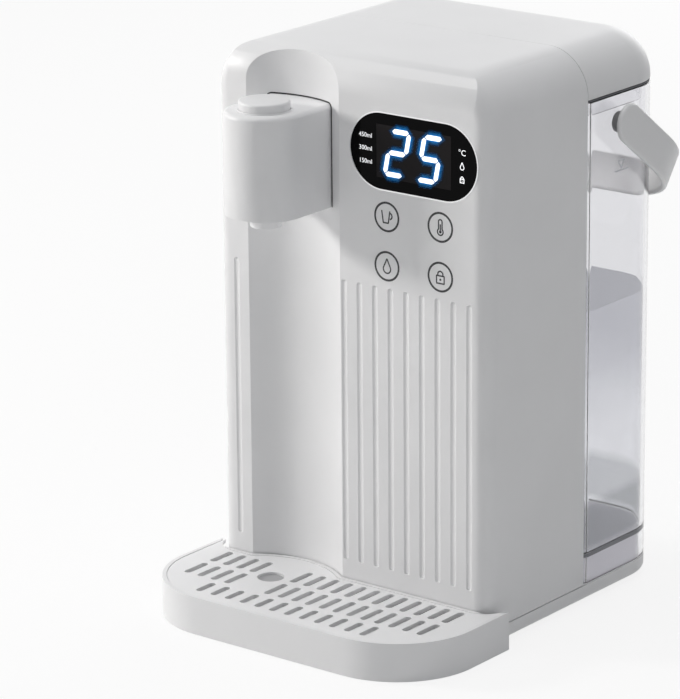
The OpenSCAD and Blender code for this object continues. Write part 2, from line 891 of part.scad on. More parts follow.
module nozzle() {
    neck_d = nozzle_d - 2 * (nozzle_lip + fit);
    color("lightgray") translate([channel_x, nose_y, 0]) difference() {
        union() {
            bar_z([0, 0, spout_low - nozzle_drop], nozzle_d, nozzle_drop);
            bar_z([0, 0, spout_low - eps], neck_d, spout_floor_t + eps);
            bar_z([0, 0, spout_low], nipple_d, spout_floor_t + nipple_len);
        }
        bar_z([0, 0, spout_low - nozzle_drop - eps], nozzle_bore, spout_h);
    }
}

module button_collar() {
    bore = button_d + 2 * fit;
    color("white") translate([channel_x, nose_y, spout_top]) ring(bore + 2 * collar_w, bore, collar_h);
}

module dispense_button() {
    stem_low = switch_top + button_travel + fit;
    color("white") translate([channel_x, nose_y, 0]) difference() {
        union() {
            button_cap();
            bar_z([0, 0, button_flange_z], button_d + 2 * button_flange_w, button_flange_t);
            bar_z([0, 0, stem_low], button_stem_d, button_top - spout_wall - stem_low);
        }
        translate([0, 0, button_flange_z - eps])
            ring(button_d - 2 * spout_wall, button_stem_d, button_top - button_flange_z - spout_wall + eps);
    }
}
// Cap of the button with a rounded rim
module button_cap() {
    rim_r = 1;
    translate([0, 0, button_flange_z]) rotate_extrude()
        edge_profile(button_d / 2, button_top - button_flange_z, rim_r);
}

module button_spring() {
    color("silver") translate([channel_x, nose_y, carrier_z + carrier_t])
        ring(button_spring_d, button_spring_bore, button_top - spout_wall - carrier_z - carrier_t);
}

module switch_carrier() {
    half = spout_in - fit;
    color("darkseagreen") translate([channel_x, nose_y, carrier_z]) linear_extrude(carrier_t) {
        circle(half);
        translate([-half, 0]) square([2 * half, carrier_back]);
    }
}

module button_switch() {
    color("black") translate([channel_x, nose_y, carrier_z + carrier_t + switch_h / 2])
        cube([switch_size, switch_size, switch_h], center = true);
}

// Display

module display_window() {
    color("black") along_y(front_y + fit, front_y + glass_t + fit) translate([display_x, display_z])
        stadium(display_w, display_h);
}

module led_module() {
    color("dimgray") along_y(front_y + glass_t + pass, board_y) translate([display_x, display_z])
        square([led_w, led_h], center = true);
}

module display_board() {
    color("darkgreen") difference() {
        translate([display_x - display_board_w / 2, board_y, display_board_low])
            cube([display_board_w, board_t, display_board_high - display_board_low]);
        at_display_posts() bar_y([0, board_y - eps, 0], board_screw_d + fit, board_t + 2 * eps);
    }
}

module touch_springs() {
    color("silver") at_touch_keys() bar_y([0, inner_y, 0], touch_spring_d, board_gap);
}

module board_screws() {
    color("silver") {
        at_display_posts() translate([0, board_y + board_t + board_screw_head_h, 0]) board_screw();
        at_power_posts() translate([0, power_y - board_screw_head_h, 0]) mirror([0, 1, 0]) board_screw();
    }
}
module board_screw() {
    rotate([90, 0, 0])
        screw(board_screw_d, board_screw_head_d, board_screw_head_h, board_screw_len + board_t - fit);
}

// Power electronics

module power_board() {
    color("darkgreen") difference() {
        translate([power_x, power_y, power_z]) cube([power_w, board_t, power_h]);
        at_power_posts() bar_y([0, power_y - eps, 0], board_screw_d + fit, board_t + 2 * eps);
    }
}

module power_parts() {
    color("steelblue") {
        for (x = [part_margin, part_margin + relay_w + part_gap])
            power_part([x, part_low], [relay_w, relay_t, relay_h]);
        power_part([part_margin, transformer_low], [transformer_w, transformer_t, transformer_h]);
        power_part([(power_w - terminal_w) / 2, terminal_low], [terminal_w, terminal_t, terminal_h]);
    }
    color("black") translate([power_x, power_y - capacitor_t, power_z])
        bar_y([part_margin + transformer_w + part_gap + capacitor_d / 2, 0,
            transformer_low + transformer_h / 2], capacitor_d, capacitor_t);
}
// A block on the power board, by its place on the board and its size
module power_part(at, size) {
    translate([power_x + at[0], power_y - size[1], power_z + at[1]]) cube(size);
}

// Water path

module heater_body() {
    color("silver") translate([heater_x, works_y, heater_z]) difference() {
        union() {
            cylinder(d = heater_d, h = heater_h);
            for (z = [0, heater_h - heater_cap_h])
                translate([0, 0, z]) cylinder(d = heater_cap_d, h = heater_cap_h);
            translate([0, 0, -nipple_len]) cylinder(d = nipple_d, h = heater_h + 2 * nipple_len);
        }
        translate([0, 0, -nipple_len - eps]) cylinder(d = nipple_bore, h = heater_h + 2 * (nipple_len + eps));
        translate([-heater_d / 2, flat_depth - heater_d / 2 - heater_d, heater_cap_h + band_h])
            cube([heater_d, heater_d, heater_h - 2 * heater_cap_h - 2 * band_h]);
    }
}

module heater_bracket() {
    color("lightgray") for (z = [band_low, band_high])
        translate([heater_x, works_y, z]) difference() {
            union() {
                cylinder(d = heater_d + 2 * (fit + band_t), h = band_h);
                translate([-band_arm_w / 2, 0, 0]) cube([band_arm_w, bulkhead_y - works_y, band_h]);
            }
            translate([0, 0, -eps]) cylinder(d = heater_d + 2 * fit, h = band_h + 2 * eps);
        }
}

module thermal_cutouts() {
    color("dimgray") for (side = [-1, 1])
        bar_y([heater_x, works_y - heater_d / 2 + flat_depth - cutout_t,
            (band_low + band_h + band_high) / 2 + side * cutout_pitch / 2], cutout_d, cutout_t);
}

module pump_head() {
    color("darkslategray") difference() {
        union() {
            bar_z([0, works_y, pump_z], pump_d, pump_h);
            bar_y([0, works_y, port_z], nipple_d, pump_d / 2 + nipple_len);
            bar_x([0, works_y, port_z], nipple_d, pump_d / 2 + nipple_len);
        }
        bar_y([0, works_y, port_z], nipple_bore, pump_d + nipple_len);
        bar_x([0, works_y, port_z], nipple_bore, pump_d + nipple_len);
    }
}

module pump_motor() {
    shaft_cap_d = 10;
    shaft_cap_h = 3;
    color("silver") {
        bar_z([0, works_y, pump_z + pump_h], motor_d, motor_h);
        bar_z([0, works_y, pump_z + pump_h + motor_h], shaft_cap_d, shaft_cap_h);
    }
}

module pump_cradle() {
    color("dimgray") translate([0, works_y, base_floor_z]) difference() {
        cylinder(d = pump_d + 2 * (fit + cradle_wall), h = cradle_t + cradle_h - pump_port_h / 2);
        translate([0, 0, cradle_t]) cylinder(d = pump_d + 2 * fit, h = cradle_h);
    }
}

module flow_sensor() {
    color("ivory") difference() {
        union() {
            bar_x([sensor_x, works_y, port_z], sensor_d, sensor_len);
            bar_x([sensor_x + sensor_len, works_y, port_z], nipple_d, nipple_len);
        }
        bar_x([sensor_x - eps, works_y, port_z], nipple_d + 2 * run_fit, nipple_len / 2 + eps + fit);
        bar_x([sensor_x - eps, works_y, port_z], nipple_bore, sensor_len + nipple_len + 2 * eps);
    }
}

module inlet_hose() {
    start = works_y + pump_d / 2 + fit;
    end = dock_y - dock_d / 2 - fit;
    color("white") difference() {
        bar_y([0, start, port_z], hose_d, end - start);
        bar_y([0, start - eps, port_z], hose_bore, end - start + 2 * eps);
    }
}

module feed_hose() {
    color("white") difference() {
        feed_run(hose_d, bend_d, 0);
        feed_run(hose_bore, bend_bore, eps);
    }
}
// Run from the flow sensor up to the heater: diameters of its lengths and of its bends,
// and how far its ends are drawn out
module feed_run(d, bend, extra) {
    start = feed_x + fit - extra;
    bend_x = heater_x - hose_bend_r;
    bend_z = port_z + hose_bend_r;
    bar_x([start, works_y, port_z], d, bend_x - start);
    translate([bend_x, works_y, bend_z]) rotate([90, 0, 0]) rotate([0, 0, -90]) hose_bend(bend);
    bar_z([heater_x, works_y, bend_z], d, heater_z - fit - bend_z + extra);
}

module outlet_hose() {
    color("white") difference() {
        outlet_run(hose_d, bend_d, 0);
        outlet_run(hose_bore, bend_bore, eps);
    }
}
// Run from the heater over to the spout and down to the nozzle, in the same terms
module outlet_run(d, bend, extra) {
    rise_z = heater_z + heater_h + fit - extra;
    drop_z = hot_hose_z - hose_bend_r;
    end_z = outlet_end_z - extra;
    right_x = heater_x - hose_bend_r;
    left_x = channel_x + hose_bend_r;
    turn_y = works_y - hose_bend_r;
    front_end = nose_y + hose_bend_r;
    bar_z([heater_x, works_y, rise_z], d, drop_z - rise_z);
    translate([right_x, works_y, drop_z]) rotate([90, 0, 0]) hose_bend(bend);
    bar_x([left_x, works_y, hot_hose_z], d, right_x - left_x);
    translate([left_x, turn_y, hot_hose_z]) rotate([0, 0, 90]) hose_bend(bend);
    bar_y([channel_x, front_end, hot_hose_z], d, turn_y - front_end);
    translate([channel_x, front_end, drop_z]) rotate([90, 0, -90]) hose_bend(bend);
    bar_z([channel_x, nose_y, end_z], d, drop_z - end_z);
}

// Dock under the tank

module dock_socket() {
    pin_top = valve_low - fit;
    color("white") translate([0, dock_y, 0]) {
        difference() {
            union() {
                bar_z([0, 0, base_floor_z], dock_d, deck_top - base_floor_z);
                bar_y([0, -dock_d / 2 - nipple_len, port_z], nipple_d, dock_d / 2 + nipple_len);
            }
            bar_z([0, 0, dock_floor_z], valve_d + 2 * pass, deck_top);
            bar_z([0, 0, deck_top - 2 * dock_seal_h], valve_d + 2 * (run_fit + dock_seal_t), dock_seal_h);
            bar_y([0, -dock_d / 2 - nipple_len - eps, port_z], nipple_bore, dock_d / 2 + nipple_len + eps);
        }
        bar_z([0, 0, dock_floor_z - eps], stem_d, pin_top - dock_floor_z + eps);
    }
}

module dock_seal() {
    bore = valve_d + 2 * run_fit;
    color("dimgray") translate([0, dock_y, deck_top - 2 * dock_seal_h])
        ring(bore + 2 * dock_seal_t, bore, dock_seal_h);
}

// Mains inlet

module cord_gland() {
    color("dimgray") difference() {
        union() {
            bar_x([-half_w - gland_flange_t, gland_y, gland_z], gland_flange_d, gland_flange_t);
            bar_x([-half_w - eps, gland_y, gland_z], gland_d, wall + gland_nut_t + eps);
        }
        bar_x([-half_w - gland_flange_t - eps, gland_y, gland_z], gland_bore, body_w);
    }
}

module gland_nut() {
    bore = gland_d + 2 * gland_slack;
    color("dimgray") translate([wall - half_w, gland_y, gland_z]) rotate([0, 90, 0])
        ring(gland_flange_d, bore, gland_nut_t);
}

// Drip tray

// Outline of the tray drawn in by an inset: round front corners, and a back edge that follows the body
module tray_plan(inset) {
    back_y = front_y - tray_gap - inset;
    cut_half = half_w + horn_gap - inset;
    difference() {
        tray_outline(tray_half_w - inset, tray_front_y + inset, tray_r - inset);
        difference() {
            translate([0, back_y]) body_cut(cut_half, horn_r + inset);
            translate([channel_x, channel_y]) circle(channel_r - tray_gap - inset);
        }
    }
}
// Outer edge of the tray, which runs on past the front wall of the body
module tray_outline(half, y0, r) {
    front_plan(half, y0, front_y + front_r, r);
}
// The space that the body takes out of the back of the tray
module body_cut(half, r) {
    front_plan(half, 0, front_d, r);
}

module drip_tray() {
    color("white") difference() {
        translate([0, 0, tray_lift]) linear_extrude(tray_h - tray_lift) tray_plan(0);
        translate([0, 0, grille_z]) linear_extrude(grille_t + eps) tray_plan(tray_wall);
        translate([0, 0, tray_floor_z + tray_floor_t]) linear_extrude(tray_h)
            tray_plan(tray_wall + tray_ledge);
        difference() {
            translate([0, 0, -eps]) linear_extrude(tray_floor_z + eps) tray_plan(tray_wall);
            translate([-tray_half_w, front_y - tray_back, -2 * eps]) cube([2 * tray_half_w, front_d, tray_h]);
        }
        for (side = [-1, 1])
            translate([side * tongue_x - tongue_w / 2 - pass, front_y - tongue_len, -eps])
                cube([tongue_w + 2 * pass, tongue_len + channel_depth, tray_floor_z + eps]);
    }
}

module drip_grille() {
    row_1 = front_y - slot_edge - slot_len / 2;
    row_2 = row_1 - slot_len - slot_web;
    row_3 = row_2 - slot_len / 2 - slot_web - slot_len_front / 2;
    color("white") difference() {
        translate([0, 0, grille_z]) linear_extrude(grille_t) tray_plan(tray_wall + fit);
        for (y = [row_1, row_2])
            for (i = [0 : slot_count - 1])
                if (abs(i - drain_at) > 1)
                    translate([(i - (slot_count - 1) / 2) * slot_pitch, y, 0]) drain_slot(slot_len);
        for (i = [0 : slot_count_front - 1])
            translate([(i - (slot_count_front - 1) / 2) * slot_pitch_front, row_3, 0])
                drain_slot(slot_len_front);
        bar_z([channel_x, nose_y, 0], drain_d, body_h);
    }
}
// One slot with round ends, lying along Y
module drain_slot(len) {
    translate([0, 0, grille_z - eps]) linear_extrude(grille_t + 2 * eps) rotate(90) stadium(len, slot_w);
}

// Water tank

// Outline of the tank drawn in by an inset
module tank_plan(inset) {
    plan(half_w - inset, tank_y + inset, rear_y - inset, max(tank_r - inset, fit), rear_r - inset);
}

module tank_shell() {
    color("aliceblue", 0.4) difference() {
        translate([0, 0, tank_z]) linear_extrude(tank_rim - tank_z) tank_plan(0);
        translate([0, 0, tank_floor_z + tank_floor_t]) linear_extrude(tank_rim) tank_plan(tank_wall);
        translate([0, 0, tank_z - eps]) linear_extrude(skirt_h + eps) tank_plan(tank_wall);
        bar_z([0, dock_y, tank_z], valve_d + 2 * run_fit, 2 * skirt_h);
        translate([-hose_notch / 2, tank_y - eps, tank_z - eps])
            cube([hose_notch, tank_wall + 2 * eps, port_z + hose_notch / 2 - tank_z + eps]);
    }
}

module tank_valve() {
    color("white") translate([0, dock_y, 0]) difference() {
        union() {
            bar_z([0, 0, valve_low], valve_d, bridge_z - valve_low);
            bar_z([0, 0, tank_floor_z + tank_floor_t], valve_flange_d, valve_flange_t);
            translate([-valve_flange_d / 2, -bridge_w / 2, bridge_z])
                cube([valve_flange_d, bridge_w, bridge_t]);
        }
        bar_z([0, 0, valve_low + valve_seat_t], valve_bore, bridge_z - valve_low - valve_seat_t);
        bar_z([0, 0, valve_low - eps], valve_hole, skirt_h);
        bar_z([0, 0, bridge_z - eps], stem_d + 4 * run_fit, bridge_t + 2 * eps);
    }
}

module valve_poppet() {
    color("gray") translate([0, dock_y, 0]) {
        bar_z([0, 0, poppet_z], poppet_d, poppet_t);
        bar_z([0, 0, valve_low], stem_d, bridge_z + bridge_t + valve_stroke - valve_low);
    }
}

module valve_spring() {
    color("silver") translate([0, dock_y, poppet_z + poppet_t])
        ring(valve_spring_d, valve_spring_bore, bridge_z - poppet_z - poppet_t);
}

module tank_filter() {
    z = tank_floor_z + tank_floor_t;
    color("white") translate([0, dock_y, z]) difference() {
        cylinder(d = filter_d, h = filter_h);
        translate([0, 0, -eps]) cylinder(d = filter_d - 2 * filter_t, h = filter_h - filter_t + eps);
        for (i = [0 : filter_slots - 1])
            rotate(i * 360 / filter_slots) translate([filter_d / 2, 0, filter_h / 2])
                cube([filter_t * 4, filter_slot_w, filter_h / 2], center = true);
    }
}

module tank_lid() {
    color("white") translate([0, 0, lid_z]) difference() {
        flat_front_pillow(half_w, tank_y, rear_y, lid_h, rear_r, top_r);
        translate([0, 0, -eps]) flat_front_pillow(half_w - lid_wall, tank_y + lid_wall, rear_y - lid_wall,
            lid_h - lid_wall + eps, rear_r - lid_wall, top_r - lid_wall);
    }
}

module lid_liner() {
    inset = lid_wall + fit;
    plug = tank_wall + fit;
    color("white") difference() {
        union() {
            translate([0, 0, lid_z]) linear_extrude(plug_t) tank_plan(inset);
            translate([0, 0, tank_rim - plug_h]) linear_extrude(plug_h + seal_h) tank_plan(plug + tank_wall);
        }
        translate([0, 0, tank_rim - plug_h - eps]) linear_extrude(plug_h + seal_h + eps)
            tank_plan(plug + tank_wall + plug_t);
    }
}

module lid_seal() {
    inner = 2 * tank_wall + fit;
    color("silver") translate([0, 0, tank_rim]) difference() {
        union() {
            linear_extrude(seal_h) tank_plan(seal_body_inset);
            translate([0, 0, (seal_h - seal_lip) / 2]) linear_extrude(seal_lip) tank_plan(seal_inset);
        }
        translate([0, 0, -eps]) linear_extrude(seal_h + 2 * eps) tank_plan(inner);
    }
}

// Handle

module handle_pivots() {
    color("gainsboro") for (side = [0, 1]) mirror([side, 0, 0]) {
        bar_x([half_w, pivot_y, pivot_z], boss_d, handle_gap - fit);
        bar_x([half_w, pivot_y, pivot_z], pin_d, handle_gap + pin_depth);
    }
}

// Section of the strap with fully rounded edges, standing upright
module strap_section() {
    rotate(90) stadium(handle_w, handle_t);
}
// Round end of the strap about the pivot axis
module strap_end() {
    rotate([0, 90, 0]) rotate(180) rotate_extrude(angle = 180) {
        translate([0, -handle_t / 2]) square([handle_edge, handle_t]);
        translate([handle_edge, 0]) intersection() {
            circle(d = handle_t);
            translate([0, -handle_t / 2]) square([handle_t, handle_t]);
        }
    }
}

// Strap bent to a U: the arms run from the pivots to the crossbar
module tank_handle() {
    arm_len = handle_len + handle_t - handle_bend_r;
    arm_x = arm_out - handle_t / 2;
    bend_x = arm_out - handle_bend_r;
    color("white") translate([0, pivot_y, pivot_z]) rotate([-handle_tilt, 0, 0]) difference() {
        union() {
            for (side = [0, 1]) mirror([side, 0, 0]) {
                translate([arm_x, 0, 0]) strap_end();
                translate([arm_x, arm_len, 0]) rotate([90, 0, 0]) linear_extrude(arm_len) strap_section();
                translate([bend_x, arm_len, 0]) rotate_extrude(angle = 90)
                    translate([handle_bend_r - handle_t / 2, 0]) strap_section();
            }
            translate([-bend_x, handle_len + handle_t / 2, 0]) rotate([90, 0, 90])
                linear_extrude(2 * bend_x) strap_section();
        }
        for (side = [0, 1]) mirror([side, 0, 0])
            bar_x([arm_in - eps, 0, 0], pin_d + 2 * run_fit, pin_depth + fit + eps);
    }
}

base_tub();
tank_deck();
rubber_feet();
base_screws();
front_housing();
rear_bulkhead();
bulkhead_screws();
spout_housing();
spout_floor();
spout_screws();
nozzle();
button_collar();
dispense_button();
button_spring();
switch_carrier();
button_switch();
display_window();
led_module();
display_board();
touch_springs();
board_screws();
power_board();
power_parts();
heater_body();
heater_bracket();
thermal_cutouts();
pump_head();
pump_motor();
pump_cradle();
flow_sensor();
inlet_hose();
feed_hose();
outlet_hose();
dock_socket();
dock_seal();
cord_gland();
gland_nut();
drip_tray();
drip_grille();
tank_shell();
tank_valve();
valve_poppet();
valve_spring();
tank_filter();
tank_lid();
lid_liner();
lid_seal();
handle_pivots();
tank_handle();
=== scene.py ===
"""Instant hot water dispenser, dressed for rendering: finishes, soft edges, prints, water and studio."""
import json
import logging
import math
from dataclasses import dataclass
from enum import Enum
from typing import Any, NamedTuple

import bmesh
import bpy
from mathutils import Matrix, Vector


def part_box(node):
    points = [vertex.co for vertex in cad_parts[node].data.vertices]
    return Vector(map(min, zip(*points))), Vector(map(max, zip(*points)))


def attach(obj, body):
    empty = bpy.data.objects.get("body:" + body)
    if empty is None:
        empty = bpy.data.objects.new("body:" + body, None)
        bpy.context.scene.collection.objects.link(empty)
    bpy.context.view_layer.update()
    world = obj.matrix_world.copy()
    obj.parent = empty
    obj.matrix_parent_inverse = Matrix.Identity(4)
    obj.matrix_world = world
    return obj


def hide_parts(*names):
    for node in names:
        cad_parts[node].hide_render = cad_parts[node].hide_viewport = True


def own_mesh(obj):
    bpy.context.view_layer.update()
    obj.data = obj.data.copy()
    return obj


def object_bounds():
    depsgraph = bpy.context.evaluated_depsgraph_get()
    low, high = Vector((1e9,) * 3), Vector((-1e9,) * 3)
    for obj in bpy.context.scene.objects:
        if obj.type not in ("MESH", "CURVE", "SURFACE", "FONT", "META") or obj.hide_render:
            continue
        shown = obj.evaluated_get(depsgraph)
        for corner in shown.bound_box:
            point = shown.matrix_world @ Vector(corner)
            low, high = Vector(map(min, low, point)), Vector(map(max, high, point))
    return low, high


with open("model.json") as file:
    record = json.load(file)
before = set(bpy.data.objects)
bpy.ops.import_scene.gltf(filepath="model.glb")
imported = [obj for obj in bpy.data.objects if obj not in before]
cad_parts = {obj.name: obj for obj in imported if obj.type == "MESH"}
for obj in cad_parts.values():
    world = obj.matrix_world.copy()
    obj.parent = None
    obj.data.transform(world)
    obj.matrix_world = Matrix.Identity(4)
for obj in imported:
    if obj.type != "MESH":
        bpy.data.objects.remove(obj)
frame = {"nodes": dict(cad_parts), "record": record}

Tree = bpy.types.NodeTree
Node = bpy.types.Node
Socket = bpy.types.NodeSocket
Mesh = bpy.types.Mesh
Piece = bpy.types.Object
Shape = bmesh.types.BMesh
Point = tuple[float, float]
Triple = tuple[float, float, float]
Inputs = dict[Any, Any]
Constants = tuple[tuple[str, float], ...]

LOG = logging.getLogger("dispenser")
MM = 0.001
CAD_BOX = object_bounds()
RECORD = frame["record"]
BODY_OF = {node: body for body, nodes in RECORD["behaviour"]["bodies"].items() for node in nodes}

GLOW = "glow"  # value on the glow's mesh: 1 at a digit, 0 at the glow's outer edge
WAVE_LENGTH = 0.314  # length of one band of the wave texture at a scale of 1
WELD_MM = 0.002  # points of a CAD node closer than this are one
JOIN_MM = 0.001  # points of a drawing closer than this are one
SLACK_MM = 0.01  # tolerance where an edge is found by its place
FLAT_DEG = 0.2  # faces of a CAD node that meet at less than this are one
SHARP_DEG = 35.0  # edges sharper than this are rounded
TURN_STEPS = 24  # steps of one turn of a spring
WIRE_SIDES = 10  # sides of a spring's wire
SPOT_STEPS = 32  # sides of a filled spot
TYPE_STEPS = 3  # steps of each curve of the type
WHITE = (1.0, 1.0, 1.0, 1.0)
SHADER = "Principled BSDF"  # name of the shader in a new material


def srgb(code: str) -> tuple[float, float, float, float]:
    """Turns an sRGB hex colour into linear RGBA, by the numbers of the sRGB standard.

    Args:
        code: Colour as "#rrggbb".

    Returns:
        Linear red, green, blue and an alpha of 1.
    """
    channels = [int(code[i:i + 2], 16) / 255 for i in (1, 3, 5)]
    red, green, blue = (c / 12.92 if c <= 0.04045 else ((c + 0.055) / 1.055) ** 2.4 for c in channels)
    return red, green, blue, 1.0


def fill_inputs(tree: Tree, node: Node, inputs: Inputs) -> None:
    """Sets inputs of a node to values, or links them to output sockets.

    Args:
        tree: Node tree of the node.
        node: Node whose inputs are filled.
        inputs: Value or socket by name or number of the input.
    """
    for key, value in inputs.items():
        if isinstance(value, Socket):
            tree.links.new(value, node.inputs[key])
        else:
            node.inputs[key].default_value = value


def add_node(tree: Tree, kind: str, inputs: Inputs, **settings: Any) -> Node:
    """Adds a node with its settings, and fills its inputs.

    Args:
        tree: Node tree that takes the node.
        kind: Blender's type name of the node.
        inputs: Value or socket by name or number of the input.
        settings: Attributes of the node.

    Returns:
        The new node.
    """
    node = tree.nodes.new(kind)
    for name, value in settings.items():
        setattr(node, name, value)
    fill_inputs(tree, node, inputs)
    return node


def combine(tree: Tree, operation: str, first: Socket, second: Any) -> Socket:
    """Adds a calculation with two values and gives its result."""
    return add_node(tree, "ShaderNodeMath", {0: first, 1: second}, operation=operation).outputs[0]


def whiten(tree: Tree, kind: str, plain: Node, output: str, share: float = 1.0) -> None:
    """Mixes white into what rays show of the background, straight or in gloss and glass.

    Args:
        tree: Node tree of the floor or the sky.
        kind: Blender's type name of the white shader.
        plain: Shader without the white.
        output: Name of the tree's output node.
        share: Share of the white.
    """
    path = add_node(tree, "ShaderNodeLightPath", {}).outputs
    seen = combine(tree, "MAXIMUM", path["Is Camera Ray"], path["Is Transmission Ray"])
    seen = combine(tree, "MAXIMUM", seen, path["Is Glossy Ray"])
    seen = combine(tree, "MULTIPLY", seen, share)
    white = add_node(tree, kind, {"Color": WHITE, "Strength": 1.0})
    mix = add_node(tree, "ShaderNodeMixShader", {0: seen, 1: plain.outputs[0], 2: white.outputs[0]})
    fill_inputs(tree, tree.nodes[output], {"Surface": mix.outputs[0]})


# Finishes


def noise(tree: Tree, size_mm: float, stretch: Triple = (1, 1, 1), octaves: float = 2.0) -> Socket:
    """Adds a noise pattern of a real size in object space.

    Args:
        tree: Node tree of the material.
        size_mm: Size of one blotch or grain.
        stretch: Factor along each axis, below 1 for streaks.
        octaves: Octaves of detail.

    Returns:
        The pattern.
    """
    place = add_node(tree, "ShaderNodeTexCoord", {}).outputs["Object"]
    turned = add_node(tree, "ShaderNodeMapping", {"Vector": place, "Scale": stretch}).outputs["Vector"]
    scaled = {"Vector": turned, "Scale": 1 / (size_mm * MM), "Detail": octaves}
    return add_node(tree, "ShaderNodeTexNoise", scaled).outputs["Fac"]


def mix_colours(tree: Tree, factor: Socket, low: str, high: str) -> Socket:
    """Adds a colour that runs between two colours along a pattern."""
    # The mix node repeats its names, so its colour sockets are found by number
    ends = {0: factor, 6: srgb(low), 7: srgb(high)}
    return add_node(tree, "ShaderNodeMix", ends, data_type="RGBA").outputs[2]


@dataclass(frozen=True)
class Finish:
    """A surface finish: a principled shader with the patterns that the real material shows."""

    name: str
    colour: str  # main colour, sRGB
    roughness: float
    ior: float = 1.5
    shade: str = ""  # second colour, in faint patches
    patch_mm: float = 45.0  # size of the patches
    gloss_mm: float = 45.0  # size of the patches where the gloss changes
    spread: float = 0.0  # how far the roughness goes to either side of its mean
    relief_mm: float = 0.0  # size of the relief
    relief_depth_mm: float = 0.0
    stretch: Triple = (1, 1, 1)  # factor on gloss and relief along each axis
    octaves: float = 2.0  # detail of the relief
    constants: Constants = ()  # further inputs of the shader

    def material(self) -> bpy.types.Material:
        """Builds the material once and returns it.

        Returns:
            The finished material.
        """
        found = bpy.data.materials.get(self.name)
        if found:
            return found
        material = bpy.data.materials.new(self.name)
        material.use_nodes = True
        tree = material.node_tree
        inputs = {"Base Color": srgb(self.colour), "Roughness": self.roughness, "IOR": self.ior}
        inputs.update(self.constants)
        if self.shade:
            inputs["Base Color"] = mix_colours(tree, noise(tree, self.patch_mm), self.shade, self.colour)
        if self.spread:
            span = {"Value": noise(tree, self.gloss_mm, self.stretch),
                    "To Min": self.roughness - self.spread, "To Max": self.roughness + self.spread}
            inputs["Roughness"] = add_node(tree, "ShaderNodeMapRange", span).outputs["Result"]
        if self.relief_mm:
            height = noise(tree, self.relief_mm, self.stretch, self.octaves)
            bump = {"Height": height, "Distance": self.relief_depth_mm * MM}
            inputs["Normal"] = add_node(tree, "ShaderNodeBump", bump).outputs["Normal"]
        inputs.update(self.detail(tree))
        fill_inputs(tree, tree.nodes[SHADER], inputs)
        return material

    def detail(self, tree: Tree) -> Inputs:
        """Gives the shader inputs that set this finish apart; the plain one has none."""
        return {}


@dataclass(frozen=True)
class MouldedPlastic(Finish):
    """Injection-moulded ABS or polypropylene: satin, with flow clouds and the mould's eroded grain."""

    shade: str = "#e6e6e7"
    spread: float = 0.05
    relief_mm: float = 0.5  # coarser than the real 0.1 mm so that it shows
    relief_depth_mm: float = 0.006


@dataclass(frozen=True)
class ClearPlastic(Finish):
    """Clear polished plastic such as SAN, with the slight waves that run up a moulded wall."""

    relief_mm: float = 30.0
    relief_depth_mm: float = 0.05
    stretch: Triple = (1, 1, 0.4)
    octaves: float = 1.0
    constants: Constants = (("Transmission Weight", 1.0),)


@dataclass(frozen=True)
class StillWater(ClearPlastic):
    """Water behind the tank wall, with painted reflections that darken it towards its surface and floor.

    Its index is drawn as that of air: the film of air that keeps the meshes of water and wall apart
    would mirror where the real water lies against the wall.
    """

    # Heights over the table, from the tank's floor to the water line, and the painted reflections there
    levels_mm: tuple[float, ...] = (27.0, 31.0, 51.0, 57.0, 90.0, 125.0, 157.0)
    painted_reflections: tuple[str, ...] = ("#f3f4f6", "#adb0b3", "#adb0b3", "#f3f4f6", "#f1f2f5", "#c8c9cf", "#c6c7cd")

    def detail(self, tree: Tree) -> Inputs:
        """Adds the painted reflections along the height of the water.

        Args:
            tree: Node tree of the material.

        Returns:
            The base colour.
        """
        place = add_node(tree, "ShaderNodeTexCoord", {}).outputs["Object"]
        axes = add_node(tree, "ShaderNodeSeparateXYZ", {"Vector": place})
        low, high = self.levels_mm[0], self.levels_mm[-1]
        span = {"Value": axes.outputs["Z"], "From Min": low * MM, "From Max": high * MM}
        height = add_node(tree, "ShaderNodeMapRange", span).outputs["Result"]
        ramp = add_node(tree, "ShaderNodeValToRGB", {"Fac": height})
        stops = ramp.color_ramp.elements
        stops.remove(stops[0])
        stops[0].position = 1.0
        stops[0].color = srgb(self.painted_reflections[-1])
        for level, shade in zip(self.levels_mm[:-1], self.painted_reflections):
            stops.new((level - low) / (high - low)).color = srgb(shade)
        return {"Base Color": ramp.outputs["Color"]}


@dataclass(frozen=True)
class WindowAcrylic(Finish):
    """Back-printed black acrylic: deep black under an anti-glare coat with faint orange peel."""

    gloss_mm: float = 18.0
    spread: float = 0.02
    relief_mm: float = 6.0
    relief_depth_mm: float = 0.002
    constants: Constants = (("Specular IOR Level", 0.05),)


@dataclass(frozen=True)
class LitInk(Finish):
    """Light from a digit or sign behind the window, a little uneven as a diffuser is."""

    strength: float = 1.0  # strength of the light, 1 for full white
    gloss_mm: float = 2.0
    spread: float = 0.05

    def detail(self, tree: Tree) -> Inputs:
        """Lets the surface shine."""
        return {"Emission Color": srgb(self.colour), "Emission Strength": self.strength}


@dataclass(frozen=True)
class Halo(LitInk):
    """Glow round a lit digit in the smoked window, fading out along the mesh's own glow value."""

    spread: float = 0.0
    fade: float = 1.7  # power of the glow value, above 1 for a soft outer edge
    constants: Constants = (("Specular IOR Level", 0.0),)

    def detail(self, tree: Tree) -> Inputs:
        """Lets the surface shine and fades it with a power of the glow value."""
        glow = add_node(tree, "ShaderNodeAttribute", {}, attribute_name=GLOW).outputs["Fac"]
        return {**super().detail(tree), "Alpha": combine(tree, "POWER", glow, self.fade)}


@dataclass(frozen=True)
class Rubber(Finish):
    """Moulded rubber or silicone: a dull skin with dusty patches; the colour is that of the dust."""

    patch_mm: float = 7.0
    relief_mm: float = 0.6
    relief_depth_mm: float = 0.012


